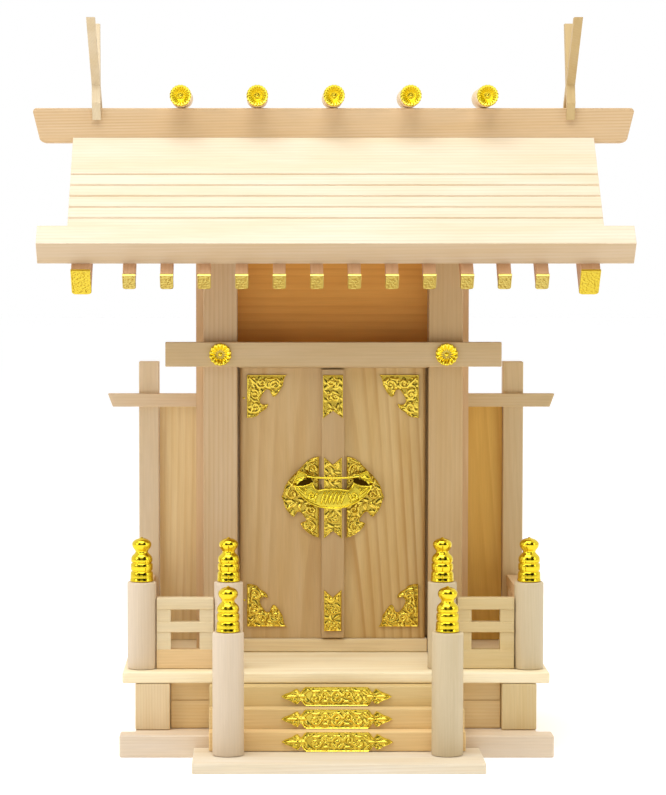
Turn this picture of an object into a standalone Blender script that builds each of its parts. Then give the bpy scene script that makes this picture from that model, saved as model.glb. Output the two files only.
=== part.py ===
# Household Shinto shrine (kamidana) in pale cypress with gilt fittings.
# Metres, +Z up, front towards -Y, origin at the bottom centre of the whole shrine.
# Depths are counted from the front edge of the stair's foot board, then moved to the centre.

import math

import bmesh
import bpy
from mathutils import Matrix

# Clearances and edges
GAP = 0.0003                    # between pieces that touch
SOFTENED_EDGE = 0.0005          # planed edge of every board
STEP_CLEARANCE = 0.0008         # between the stair posts and the lowest riser

# Stair: foot board, posts and steps
FOOT_WIDTH = 0.1748
FOOT_THICKNESS = 0.0063
STEP_COUNT = 3
STEP_RUN = 0.011
STEP_WIDTH = 0.156
STAIR_POST_DIAMETER = 0.019
STAIR_POST_SETBACK = 0.020      # from the foot board's front edge to the posts
STAIR_POST_SPACING = 0.1322
STAIR_POST_HEIGHT = 0.0744
TREAD_STRIP_LENGTH = 0.068
TREAD_STRIP_MARGIN = 0.0004     # bare riser above and below the strip

# Plinth, space under the floor and deck
PLINTH_WIDTH = 0.266
PLINTH_THICKNESS = 0.0137
PLINTH_LEDGE = 0.0185           # plinth in front of the deck
PLINTH_BEAM_DEPTH = 0.015       # its front beam, which is longer than the rest
UNDERFLOOR_HEIGHT = 0.0293
STUB_POST_SECTION = 0.0214
STUB_POST_SPAN = 0.248          # over both outer faces
FRONT_BOARD_THICKNESS = 0.006
FRONT_BOARD_RECESS = 0.0062
FRONT_BOARD_SEAM = 0.0008
SKIRT_THICKNESS = 0.0065
DECK_WIDTH = 0.264
DECK_THICKNESS = 0.0068
DECK_BEHIND_WALL = 0.004
DECK_NOSING = 0.0010            # rounding of the deck's edges

# Deck posts and railing
DECK_POST_DIAMETER = 0.018
DECK_POST_SETBACK = 0.008
DECK_POST_HEIGHT = 0.0541
CORNER_POST_SPACING = 0.241
INNER_POST_SPACING = 0.133
FINIAL_DIAMETER = 0.0152
FINIAL_HEIGHT = 0.0275
RAIL_THICKNESS = 0.008
RAIL_STRUT = 0.0088
RAIL_SOLE_HEIGHT = 0.012
RAIL_LOWER_GAP = 0.0108
RAIL_MIDDLE_HEIGHT = 0.0064
RAIL_UPPER_GAP = 0.0078
RAIL_CAP_HEIGHT = 0.0072
SIDE_RAIL_BAYS = 3

# Shrine body
PORCH_DEPTH = 0.0822            # deck edge to pillars
PILLAR_SECTION = 0.0218
PILLAR_HEIGHT = 0.3072
DOORWAY_WIDTH = 0.123
CHAMBER_DEPTH = 0.047           # length of the side walls
SIDE_WALL_THICKNESS = 0.007
SIDE_WALL_PROUD = 0.0052        # side wall outside the pillar
BACK_WALL_THICKNESS = 0.006
SILL_HEIGHT = 0.0084
SILL_SETBACK = 0.004
LINTEL_HEIGHT = 0.0155
LINTEL_SETBACK = 0.002
TRANSOM_THICKNESS = 0.0045
TIE_RAIL_LENGTH = 0.2152
TIE_RAIL_HEIGHT = 0.0157
TIE_RAIL_THICKNESS = 0.007
TIE_RAIL_ROSETTE_SPACING = 0.1448
TIE_RAIL_ROSETTE_DIAMETER = 0.0146

# Doors and their fittings
DOOR_HEIGHT = 0.175
DOOR_THICKNESS = 0.006
DOOR_RECESS = 0.0065            # door face behind the pillars' face
DOOR_SIDE_GAP = 0.0015
DOOR_SEAM = 0.0004
PIN_DIAMETER = 0.003
PIN_LENGTH = 0.003
BATTEN_WIDTH = 0.0146
BATTEN_THICKNESS = 0.004
BATTEN_MARGIN = 0.0006          # leaf showing above and below the batten
PLATE_THICKNESS = 0.0008
CORNER_PLATE_WIDTH = 0.0258
CORNER_PLATE_HEIGHT = 0.028
CORNER_PLATE_SIDE_MARGIN = 0.0046
CORNER_PLATE_TOP_MARGIN = 0.0044
CORNER_PLATE_BOTTOM_MARGIN = 0.0075
BATTEN_STRIP_HEIGHT = 0.028
BATTEN_STRIP_WIDTH = 0.0122
LOCK_HEIGHT = 0.0528
LOCK_RADIUS = 0.0333
LOCK_CENTRE_HEIGHT = 0.0912     # above the doors' lower edge
LOCK_BODY_THICKNESS = 0.0025
STRIP_NOTCH = 0.0052            # V cut into the ends of the batten's strips

# Wings beside the body
WING_POST_SECTION = 0.0133
WING_POST_HEIGHT = 0.1859
WING_SETBACK = 0.030            # from the pillars' back to the wing beam
WING_BEAM_SPAN = 0.295
WING_BEAM_HEIGHT = 0.0086
WING_BEAM_DEPTH = 0.008
WING_BEAM_LEVEL = 0.1563        # underside above the deck
WING_BEAM_RAKE = 0.0032
WING_LAP = 0.004                # how far the beam stands before the post
WING_PANEL_THICKNESS = 0.004

# Roof
ROOF_PITCH = math.radians(44.0)
ROOF_RUN = 0.070
ROOF_THICKNESS = 0.0175
ROOF_WIDTH = 0.333
EAVE_WIDTH = 0.3708
EAVE_STRIP = 0.016              # ears, measured along the slope
GROOVE_COUNT = 5
GROOVE_START = 0.0229
GROOVE_PITCH = 0.00995
GROOVE_WIDTH = 0.0015
GROOVE_DEPTH = 0.0009
RAFTER_COUNT = 12
RAFTER_PITCH = 0.0233
RAFTER_WIDTH = 0.0078
RAFTER_THICKNESS = 0.0114
RAFTER_REACH = 0.0108           # beyond the lower edge of the eave
RAFTER_LENGTH = 0.060
GABLE_RAFTER_SPAN = 0.3284
GABLE_RAFTER_WIDTH = 0.0119
GABLE_RAFTER_THICKNESS = 0.020
GABLE_RAFTER_REACH = 0.0069
RIDGE_THICKNESS = 0.019
RIDGE_HEIGHT = 0.022
RIDGE_SINK = 0.0035             # ridge beam below the roof's upper edge
RIDGE_LENGTH = 0.3854
RIDGE_RAKE = 0.0054
RIDGE_CORNER = 0.0022           # rounding of the ridge beam's ends
LOG_COUNT = 5
LOG_SPACING = 0.0487
LOG_DIAMETER = 0.014
LOG_LENGTH = 0.050
CROSS_INSET = 0.0412            # from the ridge beam's ends to the crosses
CROSS_THICKNESS = 0.0054
CROSS_BOARD_WIDTH = 0.00635
CROSS_PITCH = math.radians(54.8)
CROSS_HEIGHT = 0.0561           # tips above the ridge beam
CROSS_MEETING = 0.0148          # middle of the halving above the ridge beam
CROSS_FOOT = 0.0025             # feet before and behind the ridge beam
CROSS_LEAN = math.radians(2.4)  # both crosses lean outwards

# Levels
foot_top = FOOT_THICKNESS
plinth_top = PLINTH_THICKNESS
deck_bottom = plinth_top + UNDERFLOOR_HEIGHT
deck_top = deck_bottom + DECK_THICKNESS
floor_level = deck_top + GAP
step_rise = (deck_bottom - GAP - foot_top) / STEP_COUNT
sill_top = floor_level + SILL_HEIGHT
door_bottom = sill_top + GAP
door_top = door_bottom + DOOR_HEIGHT
lintel_bottom = door_top + GAP
lintel_top = lintel_bottom + LINTEL_HEIGHT
tie_rail_bottom = lintel_bottom + 4 * GAP
roof_under_front = floor_level + PILLAR_HEIGHT + GAP
roof_drop = ROOF_THICKNESS / math.cos(ROOF_PITCH)
roof_joint = roof_under_front + roof_drop
ridge_bottom = roof_joint - RIDGE_SINK
ridge_top = ridge_bottom + RIDGE_HEIGHT

# Depths from the foot board's front edge
stair_post_depth = STAIR_POST_SETBACK + STAIR_POST_DIAMETER / 2
riser_front = STAIR_POST_SETBACK + STAIR_POST_DIAMETER + STEP_CLEARANCE
deck_front = riser_front + STEP_COUNT * STEP_RUN
plinth_front = deck_front - PLINTH_LEDGE
foot_depth = plinth_front - GAP
stub_front = deck_front + GAP
front_board_front = stub_front + FRONT_BOARD_RECESS
deck_post_depth = deck_front + DECK_POST_SETBACK + DECK_POST_DIAMETER / 2
pillar_front = deck_front + PORCH_DEPTH
pillar_back = pillar_front + PILLAR_SECTION
back_wall_front = pillar_back + CHAMBER_DEPTH + 2 * GAP
back_wall_back = back_wall_front + BACK_WALL_THICKNESS
deck_back = back_wall_back + DECK_BEHIND_WALL
door_front = pillar_front + DOOR_RECESS
door_axis_depth = door_front + DOOR_THICKNESS / 2
wing_beam_front = pillar_back + WING_SETBACK
wing_post_front = wing_beam_front + WING_LAP
ridge_front = pillar_front
ridge_back = ridge_front + RIDGE_THICKNESS
ridge_middle = (ridge_front + ridge_back) / 2
overall_depth = ridge_back + ROOF_RUN

# Half widths
doorway_half = DOORWAY_WIDTH / 2
pillar_outer = doorway_half + PILLAR_SECTION
side_wall_outer = pillar_outer + SIDE_WALL_PROUD
side_wall_inner = side_wall_outer - SIDE_WALL_THICKNESS
leaf_outer = doorway_half - DOOR_SIDE_GAP
hinge_x = leaf_outer - DOOR_THICKNESS / 2
wing_post_x = CORNER_POST_SPACING / 2

# Colours: pale cypress in several boards, and bright gilt metal
FINISHES = {
    "cypress_roof": ((0.93, 0.86, 0.66, 1.0), 0.60, 0.0),
    "cypress_frame": ((0.78, 0.60, 0.40, 1.0), 0.58, 0.0),
    "cypress_panel": ((0.66, 0.46, 0.24, 1.0), 0.60, 0.0),
    "cypress_door": ((0.72, 0.52, 0.31, 1.0), 0.56, 0.0),
    "cypress_round": ((0.84, 0.70, 0.54, 1.0), 0.55, 0.0),
    "gilt": ((0.95, 0.72, 0.08, 1.0), 0.18, 1.0),
}


def clear_scene():
    for thing in list(bpy.data.objects):
        bpy.data.objects.remove(thing, do_unlink=True)


def make_collection(name):
    group = bpy.data.collections.new(name)
    bpy.context.scene.collection.children.link(group)
    return group


def make_finish(name):
    colour, roughness, metallic = FINISHES[name]
    finish = bpy.data.materials.new(name)
    finish.use_nodes = True
    shader = finish.node_tree.nodes["Principled BSDF"]
    shader.inputs["Base Color"].default_value = colour
    shader.inputs["Roughness"].default_value = roughness
    shader.inputs["Metallic"].default_value = metallic
    finish.diffuse_color = colour
    return finish


clear_scene()
shrine = make_collection("household_shrine")
cutters = make_collection("cutters")
finishes = {name: make_finish(name) for name in FINISHES}


def world_y(depth):
    # Depth from the foot board's front edge, as a Y coordinate about the centre
    return depth - overall_depth / 2


def place(name, mesh, finish, location=(0.0, 0.0, 0.0), rotation=(0.0, 0.0, 0.0)):
    piece = bpy.data.objects.new(name, mesh)
    piece.location = location
    piece.rotation_euler = rotation
    if finish:
        mesh.materials.clear()
        mesh.materials.append(finishes[finish])
        shrine.objects.link(piece)
    else:
        cutters.objects.link(piece)
        piece.hide_render = True
        piece.display_type = "WIRE"
    return piece


def soften(piece, width=SOFTENED_EDGE, segments=1):
    edge = piece.modifiers.new("planed_edges", "BEVEL")
    edge.width = width
    edge.segments = segments
    edge.limit_method = "ANGLE"
    edge.angle_limit = math.radians(40)
    return piece


def combine(piece, other, operation):
    step = piece.modifiers.new(operation.lower(), "BOOLEAN")
    step.operation = operation
    step.object = other
    step.solver = "EXACT"
    return piece


def box(name, xs, depths, levels, finish, edge=SOFTENED_EDGE, segments=1):
    sizes = (xs[1] - xs[0], depths[1] - depths[0], levels[1] - levels[0])
    mesh = bpy.data.meshes.new(name)
    shape = bmesh.new()
    bmesh.ops.create_cube(shape, size=1.0)
    bmesh.ops.scale(shape, vec=sizes, verts=shape.verts)
    shape.to_mesh(mesh)
    shape.free()
    middle = (sum(xs) / 2, world_y(sum(depths) / 2), sum(levels) / 2)
    piece = place(name, mesh, finish, middle)
    if edge:
        soften(piece, edge, segments)
    return piece


def drum(name, radius, length, x, depth, level, finish, steps=16):
    # Upright cylinder centred at a place
    mesh = bpy.data.meshes.new(name)
    shape = bmesh.new()
    bmesh.ops.create_cone(shape, cap_ends=True, segments=steps,
                          radius1=radius, radius2=radius, depth=length)
    shape.to_mesh(mesh)
    shape.free()
    return place(name, mesh, finish, (x, world_y(depth), level))


def sheet_mesh(name, outline, thickness):
    # Flat outline given thickness: a filled 2D curve, turned into a welded mesh
    curve = bpy.data.curves.new(name, "CURVE")
    curve.dimensions = "2D"
    curve.fill_mode = "BOTH"
    curve.extrude = thickness / 2
    spline = curve.splines.new("POLY")
    spline.points.add(len(outline) - 1)
    for point, (u, v) in zip(spline.points, outline):
        point.co = (u, v, 0.0, 1.0)
    spline.use_cyclic_u = True
    guide = bpy.data.objects.new(name, curve)
    cutters.objects.link(guide)
    seen = guide.evaluated_get(bpy.context.evaluated_depsgraph_get())
    mesh = bpy.data.meshes.new_from_object(seen)
    bpy.data.objects.remove(guide, do_unlink=True)
    shape = bmesh.new()
    shape.from_mesh(mesh)
    bmesh.ops.remove_doubles(shape, verts=shape.verts, dist=0.000002)
    bmesh.ops.recalc_face_normals(shape, faces=shape.faces)
    shape.to_mesh(mesh)
    shape.free()
    return mesh


def section_along_x(name, outline, xs, finish, edge=0.0):
    # Outline in (depth, level), run from one X to another
    depth0, level0 = outline[0]
    local = [(depth - depth0, level - level0) for depth, level in outline]
    mesh = sheet_mesh(name, local, xs[1] - xs[0])
    turn = (math.pi / 2, 0.0, math.pi / 2)
    piece = place(name, mesh, finish, (sum(xs) / 2, world_y(depth0), level0), turn)
    if edge:
        soften(piece, edge)
    return piece


def section_along_y(name, outline, depths, finish, edge=0.0, centre=(0.0, 0.0)):
    # Outline in (x, level) about a centre, run from the front depth to the back depth
    mesh = sheet_mesh(name, outline, depths[1] - depths[0])
    where = (centre[0], world_y(sum(depths) / 2), centre[1])
    piece = place(name, mesh, finish, where, (math.pi / 2, 0.0, 0.0))
    if edge:
        soften(piece, edge)
    return piece


def bent_outline(corners, steps=3):
    # Corners are (u, v, bend). A bend is the height of the arc to the next corner over
    # half its chord: 0 is straight, positive swells outward when the turn is anticlockwise
    outline = []
    for index, (u, v, bend) in enumerate(corners):
        outline.append((u, v))
        if not bend:
            continue
        next_u, next_v, _ = corners[(index + 1) % len(corners)]
        half_u, half_v = (next_u - u) / 2, (next_v - v) / 2
        lift = (1 - bend * bend) / (2 * bend)
        centre_u = u + half_u - half_v * lift
        centre_v = v + half_v + half_u * lift
        sweep = 4 * math.atan(bend)
        for step in range(1, steps):
            angle = sweep * step / steps
            du, dv = u - centre_u, v - centre_v
            outline.append((centre_u + du * math.cos(angle) - dv * math.sin(angle),
                            centre_v + du * math.sin(angle) + dv * math.cos(angle)))
    return outline


def mirrored(corners):
    # The same outline seen from the other side, still anticlockwise
    bends = [corner[2] for corner in corners]
    flipped = [(-u, v) for u, v, _ in corners]
    flipped.reverse()
    shifted = bends[:-1]
    shifted.reverse()
    shifted.append(bends[-1])
    return [(u, v, bend) for (u, v), bend in zip(flipped, shifted)]


def scaled(corners, width, height):
    return [(u * width, v * height, bend) for u, v, bend in corners]


def turned_mesh(name, profile, steps, petals=0, petal_depth=0.0, petal_zone=(0.0, 0.0)):
    # Profile of (radius, height) from top to bottom, spun about Z by a Screw modifier.
    # Where petals are asked for, every other spoke between two radii is sunk
    mesh = bpy.data.meshes.new(name)
    points = [(radius, 0.0, height) for radius, height in profile]
    mesh.from_pydata(points, [(i, i + 1) for i in range(len(points) - 1)], [])
    guide = bpy.data.objects.new(name, mesh)
    cutters.objects.link(guide)
    screw = guide.modifiers.new("turning", "SCREW")
    screw.axis = "Z"
    screw.steps = steps
    screw.render_steps = steps
    screw.use_merge_vertices = True
    screw.merge_threshold = 0.00001
    bpy.context.view_layer.update()
    seen = guide.evaluated_get(bpy.context.evaluated_depsgraph_get())
    result = bpy.data.meshes.new_from_object(seen)
    bpy.data.objects.remove(guide, do_unlink=True)
    if petals:
        for vertex in result.vertices:
            radius = math.hypot(vertex.co.x, vertex.co.y)
            if petal_zone[0] < radius < petal_zone[1] and vertex.co.z > petal_zone[2]:
                wave = math.cos(petals * math.atan2(vertex.co.y, vertex.co.x))
                vertex.co.z -= petal_depth * (0.5 - 0.5 * wave)
    shape = bmesh.new()
    shape.from_mesh(result)
    bmesh.ops.remove_doubles(shape, verts=shape.verts, dist=0.00001)
    bmesh.ops.recalc_face_normals(shape, faces=shape.faces)
    shape.to_mesh(result)
    shape.free()
    result.shade_smooth()
    result.set_sharp_from_angle(angle=math.radians(35))
    return result


def attach(piece, carrier):
    # Parent a fitting to what carries it, where it stands
    piece.location = piece.location - carrier.location
    piece.parent = carrier


def roof_underside(depth):
    # Level of the roof boards' lower face over a given depth
    slope = math.tan(ROOF_PITCH)
    peak = roof_under_front + (ridge_middle - ridge_front) * slope
    return peak - abs(depth - ridge_middle) * slope


# Foot board, plinth and the frame under the floor. The plinth is a long beam in front
# with a narrower board glued behind it
def build_base():
    half = FOOT_WIDTH / 2
    box("stair_foot_board", (-half, half), (0.0, foot_depth), (0.0, foot_top), "cypress_frame")
    half, neck = PLINTH_WIDTH / 2, STUB_POST_SPAN / 2
    front, back = world_y(plinth_front), world_y(deck_back)
    shoulder = front + PLINTH_BEAM_DEPTH
    outline = [(-half, front), (half, front), (half, shoulder), (neck, shoulder), (neck, back),
               (-neck, back), (-neck, shoulder), (-half, shoulder)]
    plinth = place("plinth_board", sheet_mesh("plinth_board", outline, PLINTH_THICKNESS),
                   "cypress_frame", (0.0, 0.0, PLINTH_THICKNESS / 2))
    soften(plinth, 1.5 * SOFTENED_EDGE)
    low, high = plinth_top + GAP, deck_bottom - GAP
    outer = STUB_POST_SPAN / 2
    inner = outer - STUB_POST_SECTION
    stub_back = stub_front + STUB_POST_SECTION
    for side, sign in (("left", -1), ("right", 1)):
        box("stub_post_" + side, sorted((sign * inner, sign * outer)),
            (stub_front, stub_back), (low, high), "cypress_frame")
        box("skirt_board_" + side, sorted((sign * (outer - SKIRT_THICKNESS), sign * outer)),
            (stub_back + GAP, back_wall_back), (low, high), "cypress_frame")
    front_board = box("front_boards", (-inner + GAP, inner - GAP),
                      (front_board_front, front_board_front + FRONT_BOARD_THICKNESS),
                      (low, high), "cypress_panel")
    seam_level = low + 0.6 * (high - low)
    seam = box("front_board_seam", (-outer, outer),
               (stub_front, front_board_front + FRONT_BOARD_SEAM),
               (seam_level, seam_level + FRONT_BOARD_SEAM), None, 0.0)
    combine(front_board, seam, "DIFFERENCE")
    half = DECK_WIDTH / 2
    box("deck_board", (-half, half), (deck_front, deck_back), (deck_bottom, deck_top),
        "cypress_frame", DECK_NOSING, 2)


def strip_outline(length, height):
    # Spear-ended strip: a long body, a waist and a barbed leaf at each end
    half, rise = length / 2, height / 2
    right = [
        (0.56 * half, -rise, -0.25),
        (0.64 * half, -0.42 * rise, 0.30),
        (0.71 * half, -0.80 * rise, 0.18),
        (0.86 * half, -0.40 * rise, -0.22),
        (half, 0.0, -0.22),
        (0.86 * half, 0.40 * rise, 0.18),
        (0.71 * half, 0.80 * rise, 0.30),
        (0.64 * half, 0.42 * rise, -0.25),
        (0.56 * half, rise, 0.0),
    ]
    left = [(-u, -v, bend) for u, v, bend in right]
    return bent_outline(right + left, 2)


def build_stair():
    half = STEP_WIDTH / 2
    strip_height = step_rise - 2 * TREAD_STRIP_MARGIN
    for count in range(STEP_COUNT):
        front = riser_front + count * STEP_RUN
        back = front + STEP_RUN - GAP
        if count == STEP_COUNT - 1:
            back = front_board_front - GAP
        top = foot_top + (count + 1) * step_rise
        low, ledge = foot_top + GAP, plinth_top + GAP
        if back < plinth_front:
            outline = [(front, low), (back, low), (back, top), (front, top)]
        elif front > plinth_front - GAP:
            outline = [(front, ledge), (back, ledge), (back, top), (front, top)]
        else:
            heel = plinth_front - GAP
            outline = [(front, low), (heel, low), (heel, ledge), (back, ledge),
                       (back, top), (front, top)]
        name = "step_" + str(count + 1)
        step = section_along_x(name, outline, (-half, half), "cypress_frame", SOFTENED_EDGE / 2)
        face_low = top - step_rise
        strip = section_along_y(name + "_strip", strip_outline(TREAD_STRIP_LENGTH, strip_height),
                                (front - PLATE_THICKNESS, front + PLATE_THICKNESS), None,
                                centre=(0.0, face_low + step_rise / 2))
        combine(step, strip, "UNION")


# Turned posts with their onion finials
def finial_profile():
    # Flared foot, banded drum, shoulder, neck and onion with a point
    radius, height = FINIAL_DIAMETER / 2, FINIAL_HEIGHT
    shares = [
        (0.0, 1.0), (0.12, 0.980), (0.48, 0.955), (0.74, 0.868), (0.62, 0.780),
        (0.43, 0.705), (0.48, 0.670), (0.82, 0.565), (0.87, 0.500), (0.86, 0.355),
        (0.75, 0.345), (0.87, 0.320), (0.83, 0.140), (1.0, 0.050), (1.0, 0.0), (0.0, 0.0),
    ]
    return [(radius * r, height * z) for r, z in shares]


def post_profile(diameter, height):
    radius, edge = diameter / 2, SOFTENED_EDGE
    return [(0.0, height), (radius - edge, height), (radius, height - edge),
            (radius, edge), (radius - edge, 0.0), (0.0, 0.0)]


def build_posts():
    places = (
        ("corner_post", CORNER_POST_SPACING / 2, deck_post_depth, floor_level,
         DECK_POST_DIAMETER, DECK_POST_HEIGHT),
        ("inner_post", INNER_POST_SPACING / 2, deck_post_depth, floor_level,
         DECK_POST_DIAMETER, DECK_POST_HEIGHT),
        ("stair_post", STAIR_POST_SPACING / 2, stair_post_depth, foot_top + GAP,
         STAIR_POST_DIAMETER, STAIR_POST_HEIGHT),
    )
    for kind, x, depth, level, diameter, height in places:
        post_mesh = turned_mesh(kind, post_profile(diameter, height), 24)
        finial_mesh = turned_mesh(kind + "_finial", finial_profile(), 14)
        for side, sign in (("left", -1), ("right", 1)):
            place(kind + "_" + side, post_mesh, "cypress_round",
                  (sign * x, world_y(depth), level))
            place(kind + "_finial_" + side, finial_mesh, "gilt",
                  (sign * x, world_y(depth), level + height + GAP))


def railing(name, length, bays):
    # A board on edge with two rows of openings cut through it, lying along local X
    level_middle = RAIL_SOLE_HEIGHT + RAIL_LOWER_GAP
    level_upper = level_middle + RAIL_MIDDLE_HEIGHT
    level_cap = level_upper + RAIL_UPPER_GAP
    height = level_cap + RAIL_CAP_HEIGHT
    rail = box(name, (-length / 2, length / 2), (-RAIL_THICKNESS / 2, RAIL_THICKNESS / 2),
               (0.0, height), "cypress_frame")
    bay = (length - (bays + 1) * RAIL_STRUT) / bays
    opening_mesh = bpy.data.meshes.new(name + "_openings")
    shape = bmesh.new()
    for index in range(bays):
        middle = -length / 2 + RAIL_STRUT + bay / 2 + index * (bay + RAIL_STRUT)
        for low, high in ((RAIL_SOLE_HEIGHT, level_middle), (level_upper, level_cap)):
            made = bmesh.ops.create_cube(shape, size=1.0)["verts"]
            bmesh.ops.scale(shape, vec=(bay, RAIL_THICKNESS * 2, high - low), verts=made)
            bmesh.ops.translate(shape, vec=(middle, 0.0, (low + high - height) / 2), verts=made)
    shape.to_mesh(opening_mesh)
    shape.free()
    openings = place(name + "_openings", opening_mesh, None)
    openings.parent = rail
    combine(rail, openings, "DIFFERENCE")
    return rail


def build_railings():
    post_radius = DECK_POST_DIAMETER / 2
    corner_x = CORNER_POST_SPACING / 2
    inner_x = INNER_POST_SPACING / 2
    front_length = corner_x - inner_x - 2 * (post_radius + GAP)
    side_start = deck_post_depth + post_radius + GAP
    side_length = wing_post_front - GAP - side_start
    for side, sign in (("left", -1), ("right", 1)):
        rail = railing("front_railing_" + side, front_length, 1)
        rail.location.x = sign * (corner_x + inner_x) / 2
        rail.location.y = world_y(deck_post_depth)
        rail.location.z += floor_level
        rail = railing("side_railing_" + side, side_length, SIDE_RAIL_BAYS)
        rail.location.x = sign * corner_x
        rail.location.y = world_y(side_start + side_length / 2)
        rail.location.z += floor_level
        rail.rotation_euler = (0.0, 0.0, math.pi / 2)


# Pillars, walls, sill, lintel and rails of the body
def build_body():
    for side, sign in (("left", -1), ("right", 1)):
        outline = [(pillar_front, floor_level), (pillar_back, floor_level),
                   (pillar_back, roof_underside(pillar_back) - GAP),
                   (ridge_middle, roof_underside(ridge_middle) - GAP),
                   (pillar_front, roof_underside(pillar_front) - GAP)]
        section_along_x("pillar_" + side, outline,
                        sorted((sign * doorway_half, sign * pillar_outer)),
                        "cypress_frame", SOFTENED_EDGE)
        wall_front, wall_back = pillar_back + GAP, back_wall_front - GAP
        outline = [(wall_front, floor_level), (wall_back, floor_level),
                   (wall_back, roof_underside(wall_back) - GAP),
                   (wall_front, roof_underside(wall_front) - GAP)]
        section_along_x("side_wall_" + side, outline,
                        sorted((sign * side_wall_inner, sign * side_wall_outer)), "cypress_frame")
    outline = [(back_wall_front, floor_level), (back_wall_back, floor_level),
               (back_wall_back, roof_underside(back_wall_back) - GAP),
               (back_wall_front, roof_underside(back_wall_front) - GAP)]
    section_along_x("back_wall", outline, (-side_wall_outer, side_wall_outer), "cypress_panel")
    transom_front = pillar_back + GAP
    transom_back = transom_front + TRANSOM_THICKNESS
    outline = [(transom_front, lintel_bottom), (transom_back, lintel_bottom),
               (transom_back, roof_underside(transom_back) - GAP),
               (transom_front, roof_underside(transom_front) - GAP)]
    half = side_wall_inner - GAP
    section_along_x("transom_panel", outline, (-half, half), "cypress_panel")
    half = doorway_half - GAP
    sill = box("door_sill", (-half, half), (pillar_front + SILL_SETBACK, pillar_back),
               (floor_level, sill_top), "cypress_frame")
    lintel = box("door_lintel", (-half, half), (pillar_front + LINTEL_SETBACK, pillar_back),
                 (lintel_bottom, lintel_top), "cypress_frame")
    for beam, level in ((sill, sill_top), (lintel, lintel_bottom)):
        for side, sign in (("left", -1), ("right", 1)):
            socket = drum(beam.name + "_socket_" + side, PIN_DIAMETER / 2 + GAP,
                          2 * (PIN_LENGTH + GAP), sign * hinge_x, door_axis_depth, level, None, 12)
            combine(beam, socket, "DIFFERENCE")
    build_tie_rail()


def rosette_profile(diameter, thickness, base):
    # Domed boss, sunk ring and a raised fluted brim, then the side and the back
    radius = diameter / 2
    return [(0.0, thickness), (0.20 * radius, 0.93 * thickness), (0.30 * radius, 0.45 * thickness),
            (0.62 * radius, 0.62 * thickness), (0.92 * radius, 0.90 * thickness),
            (radius, 0.55 * thickness), (radius, base), (0.0, base)]


def build_tie_rail():
    half = TIE_RAIL_LENGTH / 2
    front = pillar_front - GAP - TIE_RAIL_THICKNESS
    rail = box("tie_rail", (-half, half), (front, pillar_front - GAP),
               (tie_rail_bottom, tie_rail_bottom + TIE_RAIL_HEIGHT), "cypress_frame")
    thickness = 3 * PLATE_THICKNESS
    mesh = turned_mesh("tie_rail_rosette",
                       rosette_profile(TIE_RAIL_ROSETTE_DIAMETER, thickness, -thickness),
                       24, 12, 0.4 * thickness,
                       (0.4 * TIE_RAIL_ROSETTE_DIAMETER / 2, 0.99 * TIE_RAIL_ROSETTE_DIAMETER / 2, 0.0))
    for side, sign in (("left", -1), ("right", 1)):
        where = (sign * TIE_RAIL_ROSETTE_SPACING / 2, world_y(front),
                 tie_rail_bottom + TIE_RAIL_HEIGHT / 2)
        rosette = place("tie_rail_rosette_" + side, mesh.copy(), None, where, (math.pi / 2, 0.0, 0.0))
        combine(rail, rosette, "UNION")


# Door leaves on pins, with the batten and the plates that ride on them
def build_leaf(side, sign):
    thick = DOOR_THICKNESS / 2
    reach = hinge_x - DOOR_SEAM / 2
    rounded_end = [(thick * math.cos(angle), thick * math.sin(angle))
                   for angle in (math.radians(90 + 22.5 * step) for step in range(9))]
    outline = rounded_end + [(reach, -thick), (reach, thick)]
    if sign > 0:
        outline = [(-u, v) for u, v in reversed(outline)]
    mesh = sheet_mesh("door_" + side, outline, DOOR_HEIGHT)
    leaf = place("door_" + side, mesh, "cypress_door",
                 (sign * hinge_x, world_y(door_axis_depth), door_bottom + DOOR_HEIGHT / 2))
    pin = drum("door_pin_" + side, PIN_DIAMETER / 2, DOOR_HEIGHT + 2 * PIN_LENGTH,
               sign * hinge_x, door_axis_depth, door_bottom + DOOR_HEIGHT / 2, None, 12)
    combine(leaf, pin, "UNION")
    return leaf


def corner_plate_corners():
    # Outer corner at the origin, arms along +U and -V, scrolled inner edge, in mm
    return [
        (0.0, 0.0, 0.0), (0.0, -28.0, -0.20), (5.0, -26.9, 0.25), (8.2, -24.8, -0.15),
        (13.2, -21.4, 0.25), (14.4, -18.9, -0.30), (9.4, -18.8, -0.55), (10.4, -13.2, 0.20),
        (11.6, -9.8, -0.55), (15.0, -11.6, 0.30), (17.2, -13.9, 0.35), (21.0, -10.2, 0.30),
        (23.4, -6.4, -0.25), (25.8, 0.0, 0.0),
    ]


def lock_half_corners():
    # Right half of the lock's backing plate about its middle, in mm
    return [
        (8.8, -26.4, 0.15), (17.1, -21.6, 0.20), (21.2, -17.4, -0.25), (16.8, -14.6, 0.0),
        (19.8, -8.9, -0.30), (22.8, -8.9, -0.20), (25.4, -12.4, 0.25), (31.4, -5.6, 0.30),
        (33.3, 0.3, 0.20), (31.2, 7.4, 0.15), (27.0, 12.0, 0.10), (20.0, 20.7, 0.15),
        (8.8, 26.4, 0.0),
    ]


def swallowtail(width, low, high, cut, low_cut, high_cut):
    # Upright strip with a V cut into either end
    half = width / 2
    corners = [(-half, low)]
    if low_cut:
        corners.append((0.0, low + cut))
    corners += [(half, low), (half, high)]
    if high_cut:
        corners.append((0.0, high - cut))
    corners.append((-half, high))
    return corners


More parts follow.
